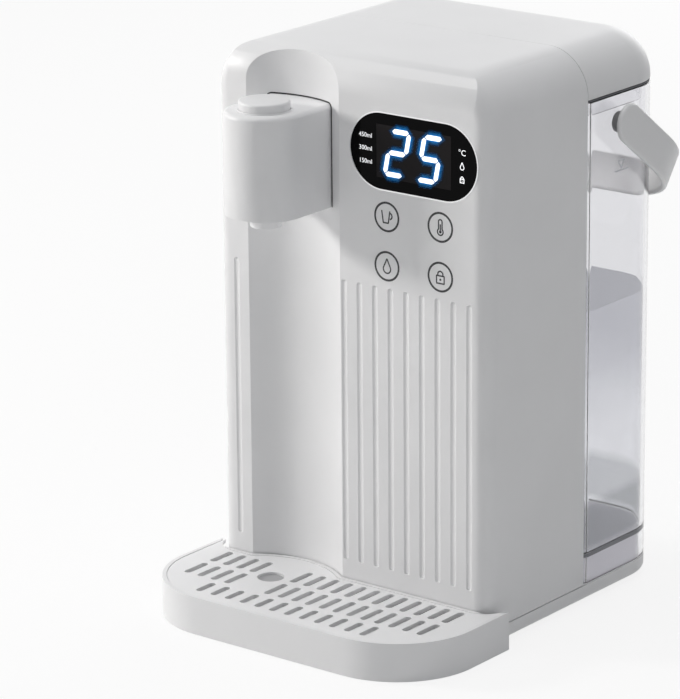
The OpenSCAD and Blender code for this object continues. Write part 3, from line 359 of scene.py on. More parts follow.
@dataclass(frozen=True)
class Metal(Finish):
    """Drawn or turned metal with fine streaks along one axis."""

    gloss_mm: float = 0.4  # coarser than the real 0.05 mm so that the streaks show
    spread: float = 0.08
    relief_mm: float = 0.4
    relief_depth_mm: float = 0.004
    stretch: Triple = (1.0, 1.0, 0.03)
    constants: Constants = (("Metallic", 1.0),)


@dataclass(frozen=True)
class Laminate(Finish):
    """Glass-fibre circuit board under green lacquer, with its weave and copper tracks."""

    relief_mm: float = 0.7
    relief_depth_mm: float = 0.01
    track: str = "#1d7a4a"  # colour of the lacquer over copper
    track_mm: float = 3.0  # spacing of the tracks
    track_bend: float = 3.0  # how much the tracks wander
    track_edge: Point = (0.6, 0.7)  # where on the wave a track begins

    def detail(self, tree: Tree) -> Inputs:
        """Adds the tracks as bands.

        Args:
            tree: Node tree of the material.

        Returns:
            The base colour.
        """
        place = add_node(tree, "ShaderNodeTexCoord", {}).outputs["Object"]
        wave = {"Vector": place, "Scale": WAVE_LENGTH / (self.track_mm * MM),
                "Distortion": self.track_bend, "Detail": 1.0}
        bands = add_node(tree, "ShaderNodeTexWave", wave, bands_direction="X").outputs["Fac"]
        low, high = self.track_edge
        span = {"Value": bands, "From Min": low, "From Max": high}
        sharp = add_node(tree, "ShaderNodeMapRange", span).outputs["Result"]
        return {"Base Color": mix_colours(tree, sharp, self.colour, self.track)}


@dataclass(frozen=True)
class PaleFloor(Finish):
    """Matt white table, nearly as white as the room but still holding the object's shadow."""

    share: float = 0.84  # share of plain white in what is seen of it

    def detail(self, tree: Tree) -> Inputs:
        """Mixes white into what is seen of the floor, which needs no further inputs."""
        whiten(tree, "ShaderNodeEmission", tree.nodes[SHADER], "Material Output", self.share)
        return {}


# White shells: a soft satin light, with a grain that breaks it up close by
WHITE_ABS = MouldedPlastic("white_abs_satin", "#eeeeef", 0.44)
# Grille: a little whiter than the tray, so that its slots stand out
WHITE_GRILLE = MouldedPlastic("white_abs_grille", "#f5f5f6", 0.42, relief_mm=0.45)
# Button: smoother from use, with a clearer shine on its rim
BUTTON_WHITE = MouldedPlastic("white_abs_button", "#f2f2f3", 0.34)
# Handle: a cooler, slightly waxy white
HANDLE_WHITE = MouldedPlastic("white_pp_handle", "#e9e9ea", 0.4, shade="#e2e2e3")
# Deck under the tank: a pale lilac grey seen through tank and water
LILAC_DECK = MouldedPlastic("lilac_grey_abs_deck", "#dedce3", 0.5, shade="#d6d4dc")
# Float in the drain: a grey disc against the white grille, its grey painted shade of the recess it lies in
FLOAT_PAINTED_SHADE = MouldedPlastic("float_painted_shade", "#b1b1b3", 0.45, shade="#a9a9ab")
# Pivot bosses of the handle: mid grey dots on its white legs
BOSS_GREY = MouldedPlastic("grey_pom_boss", "#9b9b9d", 0.42, shade="#8f8f92")
# Housings of the works: dull technical grey, natural and black plastics
PART_GREY = MouldedPlastic("grey_nylon_part", "#8b8d91", 0.5, shade="#7f8185")
NATURAL_PART = MouldedPlastic("natural_pp_part", "#e4e6e8", 0.45, shade="#dadde0")
BLACK_PART = MouldedPlastic("black_nylon_part", "#1b1b1d", 0.45, shade="#232325")
# Edge of the tank floor: painted shade, a dark line where the floor's edge shows through the clear wall
FLOOR_EDGE_SHADE = MouldedPlastic("floor_edge_painted_shade", "#64666c", 0.5, shade="#565860")
# Tank and liner: clear, with highlights that waver along the wall
CLEAR_SAN = ClearPlastic("clear_san_tank", "#f1f1f3", 0.03, 1.49)
# Level mark: milky raised lines on the clear wall
FROSTED_SAN = MouldedPlastic("frosted_san_mark", "#d7d9df", 0.5, shade="#cfd1d8")
# Water: painted reflections that darken it at its floor and surface, and on its darker top face
WATER = StillWater("still_water", "#f6f6f8", 0.0, 1.0, relief_mm=60.0, relief_depth_mm=0.02)
WATER_TOP_PAINTED_REFLECTION = ClearPlastic("water_surface_painted_reflection", "#a6a7ac", 0.0, 1.0, relief_mm=25.0)
# Window: deep black without glare, and a smoky panel in it where the digits stand
WINDOW = WindowAcrylic("black_acrylic_window", "#050506", 0.07, 1.49)
SMOKED_PANEL = WindowAcrylic("smoked_digit_panel", "#232122", 0.2, 1.49)
# Digits: cold white light with a blue glow round them; signs: a weaker, neutral light
DIGIT_LIGHT = LitInk("digit_light", "#f4faff", 0.5, strength=1.0)
SIGN_LIGHT = LitInk("sign_light", "#e4e5e7", 0.5, strength=0.9)
DIGIT_HALO = Halo("digit_halo", "#1c6cae", 0.5, strength=0.6)
# Prints of the touch keys: matt, nearly black ink
KEY_INK = MouldedPlastic("dark_grey_pad_print", "#2e2e31", 0.5, shade="#38383b", relief_mm=0.3)
# Feet and glands: dull black rubber, also laid as painted shade in the gap round the spout; seals: dark
# grey; hoses: milky and soft
DARK_RUBBER_AND_GAP_SHADE = Rubber("dark_rubber_and_gap_shade", "#3a3a3c", 0.75, shade="#2a2a2c")
GREY_SEAL = Rubber("dark_grey_silicone_seal", "#626368", 0.6, shade="#55565a")
HOSE_SILICONE = Rubber("translucent_silicone_hose", "#d0d0cc", 0.45, shade="#dcdcd8")
# Window's edge: a bright thread of metal, streaked along its length
TRIM = Metal("polished_aluminium_trim", "#f1f1f2", 0.16, stretch=(0.05, 1.0, 1.0))
# Screws and springs, and the heater's drawn tube: streaked metal sheen
STEEL = Metal("zinc_plated_steel", "#b9babd", 0.32)
HEATER_STEEL = Metal("drawn_stainless_steel", "#c4c4c6", 0.28)
# Boards: dark green with lighter tracks
BOARD = Laminate("green_circuit_board", "#14583a", 0.35)
# Table: white that keeps a soft shadow
FLOOR = PaleFloor("pale_floor", "#f0f0f0", 0.9)


# Pieces


def add_object(name: str, data: bpy.types.ID) -> Piece:
    """Puts an object into the scene.

    Args:
        name: Name of the object.
        data: Its mesh, lamp or camera.

    Returns:
        The new object.
    """
    added = bpy.data.objects.new(name, data)
    bpy.context.scene.collection.objects.link(added)
    return added


def add_shape(name: str, shape: Shape, finish: Finish) -> Piece:
    """Puts a shape into the scene.

    Args:
        name: Name of the object.
        shape: Shape with its place in its vertices; it is freed.
        finish: Finish of its surface.

    Returns:
        The new object.
    """
    mesh = bpy.data.meshes.new(name)
    shape.to_mesh(mesh)
    shape.free()
    mesh.materials.clear()
    mesh.materials.append(finish.material())
    return add_object(name, mesh)


def place_piece(name: str, shape: Shape, finish: Finish, body: str) -> Piece:
    """Puts a shape into the scene as a piece that rides on a body.

    Args:
        name: Name of the piece.
        shape: Shape with its place in its vertices; it is freed.
        finish: Finish of its surface.
        body: Body that it moves with.

    Returns:
        The new object.
    """
    piece = add_shape(name, shape, finish)
    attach(piece, body)
    LOG.info("piece %s on %s", name, body)
    return piece


def stand_in(name: str, shape: Shape, finish: Finish, node: str) -> Piece:
    """Stands a shape in the place of a CAD node.

    Args:
        name: Name of the piece.
        shape: Shape with its place in its vertices; it is freed.
        finish: Finish of its surface.
        node: Node that it replaces.

    Returns:
        The new object.
    """
    piece = place_piece(name, shape, finish, BODY_OF[node])
    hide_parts(node)
    return piece


def dress(finish: Finish, *nodes: str) -> None:
    """Gives CAD nodes their finish as they are.

    Args:
        finish: Finish of their surfaces.
        nodes: Names of the nodes.
    """
    for node in nodes:
        piece = frame["nodes"][node]
        if not piece.material_slots:
            piece.data.materials.append(None)
        for slot in piece.material_slots:
            slot.material = finish.material()
        LOG.info("node %s in %s", node, finish.name)


def soften(node: str, finish: Finish, radius_mm: float, segments: int = 3) -> Piece:
    """Stands a copy of a CAD node in its place, with its sharp edges rounded as a mould leaves them.

    Args:
        node: CAD node to copy.
        finish: Finish of the copy.
        radius_mm: Radius of the rounded edges.
        segments: Steps of the rounding.

    Returns:
        The copy, which replaces the node.
    """
    copied = bmesh.new()
    copied.from_mesh(frame["nodes"][node].data)
    bmesh.ops.remove_doubles(copied, verts=copied.verts, dist=WELD_MM * MM)
    bmesh.ops.dissolve_limit(copied, angle_limit=math.radians(FLAT_DEG), verts=copied.verts,
                             edges=copied.edges)
    for face in copied.faces:
        face.smooth = True
    piece = stand_in(node + "_soft", copied, finish, node)
    attributes = piece.data.attributes
    if "custom_normal" in attributes:
        attributes.remove(attributes["custom_normal"])
    edge = piece.modifiers.new("soft_edges", "BEVEL")
    edge.width = radius_mm * MM
    edge.segments = segments
    edge.limit_method = "ANGLE"
    edge.angle_limit = math.radians(SHARP_DEG)
    edge.harden_normals = True
    return piece


def wind_spring(node: str, finish: Finish, wire_mm: float, turns: int) -> Piece:
    """Winds a wire spring in the space of a CAD tube.

    Args:
        node: CAD tube that stands for the spring.
        finish: Finish of the wire.
        wire_mm: Diameter of the wire.
        turns: Number of turns.

    Returns:
        The spring, which replaces the tube.
    """
    low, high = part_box(node)
    wire, middle, steps = wire_mm * MM, (low + high) / 2, TURN_STEPS * turns
    start = Vector((high.x - wire / 2, middle.y, low.z + wire / 2))
    shape = bmesh.new()
    bmesh.ops.create_circle(shape, cap_ends=False, segments=WIRE_SIDES, radius=wire / 2,
                            matrix=Matrix.Translation(start) @ Matrix.Rotation(math.pi / 2, 4, "X"))
    bmesh.ops.spin(shape, geom=shape.edges[:], cent=middle, axis=(0, 0, 1), angle=2 * math.pi * turns,
                   steps=steps, dvec=(0, 0, (high.z - low.z - wire) / steps), use_merge=False)
    bmesh.ops.holes_fill(shape, edges=shape.edges[:], sides=WIRE_SIDES)
    bmesh.ops.recalc_face_normals(shape, faces=shape.faces[:])
    for face in shape.faces:
        face.smooth = len(face.verts) == 4
    return stand_in(node + "_wire", shape, finish, node)


def sink_top(shape: Shape, rim: float, depth: float) -> list[bmesh.types.BMEdge]:
    """Sinks the top face of a shape inside a rim.

    Args:
        shape: Shape with one top face.
        rim: Width of the rim.
        depth: How far the face sinks.

    Returns:
        The outer edges of the rim.
    """
    top = max(shape.faces, key=lambda face: face.calc_center_median().z)
    outer = top.edges[:]
    bmesh.ops.inset_region(shape, faces=[top], thickness=rim, use_even_offset=True)
    bmesh.ops.translate(shape, vec=(0, 0, -depth), verts=top.verts)
    return outer


# Flat drawings in millimetres, seen from +Z


class Layer(NamedTuple):
    """A thin layer on a face, in millimetres; a layer of no thickness is an open sheet."""

    thickness: float
    lift: float  # how far its back stands in front of the face


def thicken(shape: Shape, height: float) -> None:
    """Gives a drawing a thickness towards the viewer, so that it is a closed sheet.

    Args:
        shape: Drawing of faces.
        height: Thickness of the sheet.
    """
    bmesh.ops.remove_doubles(shape, verts=shape.verts, dist=JOIN_MM)
    bmesh.ops.recalc_face_normals(shape, faces=shape.faces)
    for face in shape.faces:
        if face.normal.z < 0:
            face.normal_flip()
    raised = bmesh.ops.extrude_face_region(shape, geom=list(shape.faces), use_keep_orig=True)["geom"]
    bmesh.ops.translate(shape, vec=(0, 0, height),
                        verts=[part for part in raised if isinstance(part, bmesh.types.BMVert)])
    bmesh.ops.recalc_face_normals(shape, faces=shape.faces)


def lay(shape: Shape, name: str, finish: Finish, layer: Layer, centre: Vector,
        body: str = "body", facing: float = 0.0) -> Piece:
    """Stands a drawing upright as a thin layer on a face.

    Args:
        shape: Drawing; it is freed.
        name: Name of the piece.
        finish: Finish of its surface.
        layer: Thickness and lift of the layer.
        centre: Place of its origin on the face, in metres.
        body: Body that it moves with.
        facing: Turn from the front, in degrees; 90 faces right.

    Returns:
        The new object.
    """
    if layer.thickness:
        thicken(shape, layer.thickness)
    turn = Matrix.Rotation(math.radians(facing), 4, "Z") @ Matrix.Rotation(math.radians(90), 4, "X")
    lift = turn @ Vector((0, 0, layer.lift * MM))
    place = Matrix.Translation(centre + lift) @ Matrix.Scale(MM, 4) @ turn
    bmesh.ops.transform(shape, matrix=place, verts=shape.verts)
    return place_piece(name, shape, finish, body)


def hex_bar(shape: Shape, length: float, width: float) -> list[bmesh.types.BMVert]:
    """Draws a bar along X with right-angled points, as a segment of a digit.

    Args:
        shape: Drawing that takes the bar.
        length: Length from tip to tip.
        width: Width of the bar.

    Returns:
        The corners of the bar.
    """
    radius = width / math.sqrt(3)
    corners = bmesh.ops.create_circle(shape, cap_ends=True, segments=6, radius=radius,
                                      matrix=Matrix.Rotation(math.radians(-90), 4, "Z"))["verts"]
    bmesh.ops.scale(shape, vec=(math.sqrt(3), 1, 1), verts=corners)
    for side in (-1, 1):
        half = [v for v in corners if v.co.x * side > 0]
        bmesh.ops.translate(shape, vec=(side * (length / 2 - width), 0, 0), verts=half)
    return corners


def ring_line(shape: Shape, radius: float, width: float, centre: Point = (0, 0), start: float = 0.0,
              sweep: float = 360.0, steps: int = 48) -> None:
    """Draws a line along an arc by spinning its cross line.

    Args:
        shape: Drawing that takes the line.
        radius: Radius at the middle of the line.
        width: Width of the line.
        centre: Centre of the arc.
        start: Angle of its first end, in degrees.
        sweep: Angle that it runs through, 360 for a closed ring.
        steps: Steps along the arc.
    """
    turn = Matrix.Translation((*centre, 0)) @ Matrix.Rotation(math.radians(start), 4, "Z")
    ends = [shape.verts.new(turn @ Vector((radius + side * width / 2, 0, 0))) for side in (-1, 1)]
    line = shape.edges.new(ends)
    bmesh.ops.spin(shape, geom=[*ends, line], cent=(*centre, 0), axis=(0, 0, 1),
                   angle=math.radians(sweep), steps=steps, use_merge=sweep == 360.0)


def straight_line(shape: Shape, start: Point, end: Point, width: float) -> None:
    """Draws a straight line between two points.

    Args:
        shape: Drawing that takes the line.
        start: First end of its middle.
        end: Last end of its middle.
        width: Width of the line.
    """
    run = Vector(end) - Vector(start)
    middle = (Vector(start) + Vector(end)) / 2
    turn = Matrix.Rotation(math.atan2(run.y, run.x), 4, "Z")
    stretch = Matrix.Diagonal((run.length / 2, width / 2, 1, 1))
    bmesh.ops.create_grid(shape, x_segments=1, y_segments=1, size=1,
                          matrix=Matrix.Translation((*middle, 0)) @ turn @ stretch)


def spot(shape: Shape, radius: float, centre: Point) -> None:
    """Draws a filled disc."""
    bmesh.ops.create_circle(shape, cap_ends=True, segments=SPOT_STEPS, radius=radius,
                            matrix=Matrix.Translation((*centre, 0)))


def lettering(shape: Shape, words: str, height: float, centre: Point) -> None:
    """Draws plain figures or a unit, filled, round a point.

    Args:
        shape: Drawing that takes them.
        words: What is written.
        height: Size of the type.
        centre: Middle of the line.
    """
    curve = bpy.data.curves.new("sign_type", "FONT")
    curve.body = words
    curve.size = height
    curve.align_x = curve.align_y = "CENTER"
    curve.resolution_u = TYPE_STEPS
    holder = bpy.data.objects.new("sign_type", curve)
    mesh = bpy.data.meshes.new_from_object(holder)
    mesh.transform(Matrix.Translation((*centre, 0)))
    shape.from_mesh(mesh)
    bpy.data.objects.remove(holder)
    bpy.data.curves.remove(curve)
    bpy.data.meshes.remove(mesh)


class Icon(Enum):
    """Generic signs on the touch keys and in the window, in half heights from their middle.

    Each has straight lines by both ends, arcs by radius, centre, first angle, sweep and steps, and
    spots by radius and centre.
    """

    CUP = (((-0.8, 0.8, -0.55, -0.8), (0.5, 0.8, 0.25, -0.8), (-0.6, -0.8, 0.3, -0.8)),
           ((0.42, 0.42, 0.15, -80, 160, 20),), ())
    THERMOMETER = (((-0.28, 0.72, -0.28, -0.3), (0.28, 0.72, 0.28, -0.3), (0, -0.5, 0, 0.4)),
                   ((0.28, 0, 0.72, 0, 180, 20), (0.44, 0, -0.6, 130, 280, 32)), ((0.2, 0, -0.6),))
    DROP = (((-0.5, -0.06, 0, 1), (0.5, -0.06, 0, 1)), ((0.58, 0, -0.35, 150, 240, 36),), ())
    PADLOCK = (((-0.65, -0.85, 0.65, -0.85), (-0.65, 0.15, 0.65, 0.15), (-0.6, -0.85, -0.6, 0.15),
                (0.6, -0.85, 0.6, 0.15), (-0.4, 0.15, -0.4, 0.35), (0.4, 0.15, 0.4, 0.35)),
               ((0.4, 0, 0.35, 0, 180, 24),), ((0.15, 0, -0.35),))

    def draw(self, shape: Shape, size: float, line: float, centre: Point = (0, 0)) -> None:
        """Draws the sign round a point.

        Args:
            shape: Drawing that takes the sign.
            size: Half of its height.
            line: Width of its lines.
            centre: Middle of the sign.
        """
        def at(across: float, up: float) -> Point:
            """Turns a place in the sign into one in the drawing."""
            return centre[0] + across * size, centre[1] + up * size

        lines, arcs, spots = self.value
        for start_x, start_y, end_x, end_y in lines:
            straight_line(shape, at(start_x, start_y), at(end_x, end_y), line)
        for radius, across, up, start, sweep, steps in arcs:
            ring_line(shape, radius * size, line, at(across, up), start, sweep, steps)
        for radius, across, up in spots:
            spot(shape, radius * size, at(across, up))


class Segment(Enum):
    """Segments of a digit: middle in half widths and half heights, and whether it stands upright."""

    TOP = (0, 1, False)
    UPPER_RIGHT = (1, 0.5, True)
    LOWER_RIGHT = (1, -0.5, True)
    BOTTOM = (0, -1, False)
    LOWER_LEFT = (-1, -0.5, True)
    UPPER_LEFT = (-1, 0.5, True)
    MIDDLE = (0, 0, False)


DIGITS = {
    2: (Segment.TOP, Segment.UPPER_RIGHT, Segment.MIDDLE, Segment.LOWER_LEFT, Segment.BOTTOM),
    5: (Segment.TOP, Segment.UPPER_LEFT, Segment.MIDDLE, Segment.LOWER_RIGHT, Segment.BOTTOM),
}


# Sub-assemblies, with their sizes in millimetres; an edge is the radius of rounded edges


@dataclass
class FrontUnit:
    """White housing with its channel and flutes, the base under it and what it holds inside."""

    edge: float = 0.5
    base_edge: float = 0.35
    flute_share: float = 0.5  # share of the solid's flute depth that is drawn
    flute_depth: float = 1.1  # depth of the flutes in the solid
    flute_slack: float = 0.1  # added to it where their points are found
    flute_zone: Point = (31.0, 179.0)  # lower and upper end of the flutes over the table
    flat_half: float = 76.9  # half width of the flat front wall
    channel: Point = (-65.0, -5.6)  # left and right edge of the channel, which keeps its depth

    def build(self) -> None:
        """Rounds the edges of the housing and of the base, and eases the flutes."""
        self.ease_flutes(soften("front_housing", WHITE_ABS, self.edge).data)
        soften("base_tub", WHITE_ABS, self.base_edge, 2)
        self.dress()

    def ease_flutes(self, mesh: Mesh) -> None:
        """Draws the flutes as shallow as the light in the photograph shows them.

        Args:
            mesh: Copy of the housing.
        """
        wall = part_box("front_housing")[0].y
        for vert in mesh.vertices:
            across, height = vert.co.x / MM, vert.co.z / MM
            in_zone = self.flute_zone[0] < height < self.flute_zone[1] and abs(across) < self.flat_half
            in_channel = self.channel[0] < across < self.channel[1]
            depth = vert.co.y - wall
            if in_zone and not in_channel and 0 < depth < (self.flute_depth + self.flute_slack) * MM:
                vert.co.y = wall + depth * self.flute_share

    def dress(self) -> None:
        """Gives the inner pieces their finishes."""
        dress(WHITE_ABS, "rear_bulkhead")
        dress(LILAC_DECK, "tank_deck")
        dress(DARK_RUBBER_AND_GAP_SHADE, "rubber_feet", "cord_gland", "gland_nut", "dock_seal")
        dress(STEEL, "base_screws", "bulkhead_screws", "spout_screws", "board_screws", "touch_springs")
        dress(BOARD, "display_board", "power_board")
        dress(PART_GREY, "power_parts", "pump_head", "pump_cradle", "led_module")
        dress(HEATER_STEEL, "heater_body", "heater_bracket", "pump_motor")
        dress(BLACK_PART, "thermal_cutouts")
        dress(NATURAL_PART, "flow_sensor", "dock_socket")
        dress(HOSE_SILICONE, "inlet_hose", "feed_hose", "outlet_hose")


@dataclass
class Spout:
    """Spout with its press button, ring and nozzle."""

    edge: float = 0.5
    small_edge: float = 0.35  # of ring, button and nozzle
    joint: float = 0.75  # width of the painted shade in the gap between spout and channel
    gap_shade_layer: Layer = Layer(0.1, 0.05)
    gap_shade_steps: int = 16  # steps of the painted shade across the channel
    corner_steps: int = 8  # steps of the painted shade round a corner
    top_r: float = 2.5  # radius of the spout's upper edge
    channel_w: float = 59.2  # width of the channel at the front wall
    channel_depth: float = 10.0  # depth of the channel at its middle
    spring_wire: float = 1.5  # diameter of the button spring's wire
    spring_turns: int = 4
    press: float = 2.5  # travel of the button, by which the spring gets shorter
    press_slack: float = 0.02  # gap between spring and button when it is pressed

    def build(self) -> None:
        """Draws the gap's painted shade and the spring, and rounds the edges of spout, ring, button and
        nozzle.
        """
        self.build_gap_shade()
        self.build_spring()
        soften("spout_housing", WHITE_ABS, self.edge)
        for node, finish in (("button_collar", WHITE_ABS), ("dispense_button", BUTTON_WHITE),
                             ("nozzle", WHITE_ABS)):
            soften(node, finish, self.small_edge)
        self.dress()

    def build_gap_shade(self) -> None:
        """Builds painted shade for the gap round the rear of the spout, bent onto the wall of the channel.
        """
        low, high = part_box("spout_housing")
        half, rise = (high.x - low.x) / 2 / MM, (high.z - low.z) / 2 / MM
        flat, level = half - self.top_r, rise + self.joint / 2
        shape = bmesh.new()
        for side in (-1, 1):
            edge = side * (half + self.joint / 2)
            straight_line(shape, (edge, -rise), (edge, rise - self.top_r), self.joint)
            ring_line(shape, self.top_r + self.joint / 2, self.joint, (side * flat, rise - self.top_r),
                      45 - 45 * side, 90, self.corner_steps)
        for step in range(self.gap_shade_steps):
            start, end = (flat * (2 * (step + i) / self.gap_shade_steps - 1) for i in (0, 1))
            straight_line(shape, (start, level), (end, level), self.joint)
        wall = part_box("front_housing")[0].y + self.channel_depth * MM
        centre = Vector(((low.x + high.x) / 2, wall, (low.z + high.z) / 2))
        joint = lay(shape, "spout_gap_shade", DARK_RUBBER_AND_GAP_SHADE, self.gap_shade_layer, centre)
        radius = (self.channel_w ** 2 / 4 + self.channel_depth ** 2) / (2 * self.channel_depth)
        for vert in joint.data.vertices:
            across = (vert.co.x - centre.x) / MM
            vert.co.y -= (radius - math.sqrt(radius ** 2 - across ** 2)) * MM

    def build_spring(self) -> None:
        """Winds the button's spring and gives it a mesh of its own."""
        spring = wind_spring("button_spring", STEEL, self.spring_wire, self.spring_turns)
        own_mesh(spring)

    def dress(self) -> None:
        """Gives the inner pieces their finishes."""
        dress(WHITE_ABS, "spout_floor")
        dress(BOARD, "switch_carrier")
        dress(BLACK_PART, "button_switch")


@dataclass
class Display:
    """Black window with its lit digits and signs."""

    edge: float = 0.12
    digits: tuple[int, ...] = (2, 5)  # number that is shown
    digit_pitch: float = 20.1  # distance between the digits
    digit_half_w: float = 5.4  # half of its width, between the middles of segments
    digit_half_h: float = 11.1  # half of its height, taken alike
    digit_line: float = 2.5  # width of a segment
    digit_gap: float = 0.35  # gap at the tip of each segment
    digit_layer: Layer = Layer(0.02, 0.06)
    slant: float = 0.2  # sideways lean of the digits per height
    glow: float = 3.0  # width of the glow round a segment
    glow_layer: Layer = Layer(0.0, 0.04)  # between panel and digits
    panel: Point = (45.6, 27.0)  # width and height of the smoked panel behind the digits
    panel_layer: Layer = Layer(0.01, 0.005)
    trim: float = 0.6  # width of the bright edge round the window
    trim_lap: float = 0.1  # how far it laps over the window
    trim_layer: Layer = Layer(0.12, 0.0)
    amounts: tuple[str, ...] = ("450ml", "300ml", "150ml")  # left of the digits
    type_size: float = 3.3
    unit: str = "°C"  # right of the digits
    unit_size: float = 4.2
    unit_level: float = 6.2  # height over the window's middle
    icons: tuple[Icon, ...] = (Icon.DROP, Icon.PADLOCK)  # signs below the unit
    sign_x: float = 29.6  # distance of figures and signs from it
    sign_top: float = 6.8  # height of the first figure over it
    sign_pitch: float = 6.65  # distance between lines
    sign_size: float = 1.9  # half height of a sign
    sign_line: float = 0.42  # width of a sign's lines
    sign_layer: Layer = Layer(0.02, 0.03)

    def __post_init__(self) -> None:
        """Finds the middle of the window's face."""
        low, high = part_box("display_window")
        self.face = Vector(((low.x + high.x) / 2, low.y, (low.z + high.z) / 2))

    def build(self) -> None:
        """Builds the window and what it shows, from the panel forward to the digits."""
        soften("display_window", WINDOW, self.edge, 2)
        panel = bmesh.new()
        half_w, half_h = self.panel[0] / 2, self.panel[1] / 2
        straight_line(panel, (-half_w, 0), (half_w, 0), 2 * half_h)
        lay(panel, "digit_panel", SMOKED_PANEL, self.panel_layer, self.face)
        self.build_halo()
        lay(self.number(0.0), "lit_digits", DIGIT_LIGHT, self.digit_layer, self.face)
        self.build_signs()
        self.build_trim()

    def number(self, grow: float) -> Shape:
        """Draws the number from the segments of its digits, leaning to the right.

        Args:
            grow: Width added all round each segment, for the glow.

        Returns:
            The drawing.
        """
        shape = bmesh.new()
        lean = Matrix.Identity(4)
        lean[0][1] = self.slant
        middle = (len(self.digits) - 1) / 2
        for place, digit in enumerate(self.digits):
            centre = Matrix.Translation(((place - middle) * self.digit_pitch, 0, 0))
            for segment in DIGITS[digit]:
                across, up, upright = segment.value
                length = self.digit_half_h if upright else 2 * self.digit_half_w
                corners = hex_bar(shape, length - 2 * self.digit_gap + 2 * grow,
                                  self.digit_line + 2 * grow)
                turn = Matrix.Rotation(math.radians(90 if upright else 0), 4, "Z")
                shift = Matrix.Translation((across * self.digit_half_w, up * self.digit_half_h, 0))
                bmesh.ops.transform(shape, matrix=centre @ lean @ shift @ turn, verts=corners)
        return shape

    def build_halo(self) -> None:
        """Builds the glow round the digits, with its strength as a value on the mesh."""
        halo = self.number(self.glow)
        value = halo.verts.layers.float.new(GLOW)
        outer = set(halo.verts)
        bmesh.ops.inset_individual(halo, faces=halo.faces[:], thickness=self.glow, use_even_offset=True)
        for vert in halo.verts:
            vert[value] = 0.0 if vert in outer else 1.0
        lay(halo, "digit_glow", DIGIT_HALO, self.glow_layer, self.face)

    def build_signs(self) -> None:
        """Builds the amounts left of the digits, and the unit and two signs right of them."""
        signs = bmesh.new()
        for row, amount in enumerate(self.amounts):
            place = (-self.sign_x, self.sign_top - row * self.sign_pitch)
            lettering(signs, amount, self.type_size, place)
        lettering(signs, self.unit, self.unit_size, (self.sign_x, self.unit_level))
        for row, icon in enumerate(self.icons, 1):
            place = (self.sign_x, self.unit_level - row * self.sign_pitch)
            icon.draw(signs, self.sign_size, self.sign_line, place)
        lay(signs, "lit_signs", SIGN_LIGHT, self.sign_layer, self.face)

    def build_trim(self) -> None:
        """Builds the thin bright edge round the window as a stadium line."""
        low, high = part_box("display_window")
        width, height = (high.x - low.x) / MM, (high.z - low.z) / MM
        radius = height / 2 + self.trim / 2 - self.trim_lap
        half = (width - height) / 2
        trim = bmesh.new()
        for side in (-1, 1):
            ring_line(trim, radius, self.trim, (side * half, 0), -90 * side, 180)
            straight_line(trim, (-half, side * radius), (half, side * radius), self.trim)
        wall = Vector((self.face.x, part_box("front_housing")[0].y, self.face.z))
        lay(trim, "window_trim", TRIM, self.trim_layer, wall)


@dataclass
class TouchKeys:
    """Touch keys printed on the front wall: a ring and a generic sign each."""

    ring_d: float = 15.6  # outer diameter of a ring
    ring_line: float = 1.1  # width of the ring's line
    ring_steps: int = 64
    pitch: Point = (33.0, 25.4)  # distance between keys across and upright
    sign: float = 3.9  # half height of a sign
    sign_line: float = 0.75  # width of a sign's lines
    layer: Layer = Layer(0.03, 0.01)
    icons: tuple[Icon, ...] = (Icon.CUP, Icon.THERMOMETER, Icon.DROP, Icon.PADLOCK)  # row by row

    def build(self) -> None:
        """Prints the four keys on the front wall, in front of their springs."""
        low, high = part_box("touch_springs")
        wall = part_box("front_housing")[0].y
        middle = (low + high) / 2
        for number, icon in enumerate(self.icons):
            across = (number % 2 - 0.5) * self.pitch[0]
            up = (0.5 - number // 2) * self.pitch[1]
            shape = bmesh.new()
            ring_line(shape, (self.ring_d - self.ring_line) / 2, self.ring_line, steps=self.ring_steps)
            icon.draw(shape, self.sign, self.sign_line)
            centre = Vector((middle.x + across * MM, wall, middle.z + up * MM))
            lay(shape, "touch_key_" + icon.name.lower(), KEY_INK, self.layer, centre)


@dataclass
class DripTray:
    """Drip tray with its slotted grille."""

    edge: float = 0.6
    grille_edge: float = 0.35
    drain_d: float = 13.8  # diameter of the drain's float
    drain_steps: int = 64
    drain_drop: float = 1.1  # how far it lies below the grille's top
    drain_t: float = 0.8  # its thickness
    dish_rim: float = 1.0  # width of the rim round its dish
    dish_depth: float = 0.2
    rim_r: float = 0.25

    def build(self) -> None:
        """Rounds the edges of the tray and of the grille, and lays the float into the drain."""
        soften("drip_tray", WHITE_ABS, self.edge)
        soften("drip_grille", WHITE_GRILLE, self.grille_edge, 2)
        middle = sum(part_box("nozzle"), Vector()) / 2
        middle.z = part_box("drip_grille")[1].z - (self.drain_drop + self.drain_t / 2) * MM
        radius = self.drain_d / 2 * MM
        shape = bmesh.new()
        bmesh.ops.create_cone(shape, cap_ends=True, segments=self.drain_steps, radius1=radius,
                              radius2=radius, depth=self.drain_t * MM, matrix=Matrix.Translation(middle))
        rim = sink_top(shape, self.dish_rim * MM, self.dish_depth * MM)
        bmesh.ops.bevel(shape, geom=rim, offset=self.rim_r * MM, affect="EDGES", segments=3,
                        profile=0.5, material=-1)
        bmesh.ops.recalc_face_normals(shape, faces=shape.faces)
        # The float's grey is painted shade of the recess under the grille's top
        place_piece("drain_float", shape, FLOAT_PAINTED_SHADE, BODY_OF["drip_grille"])


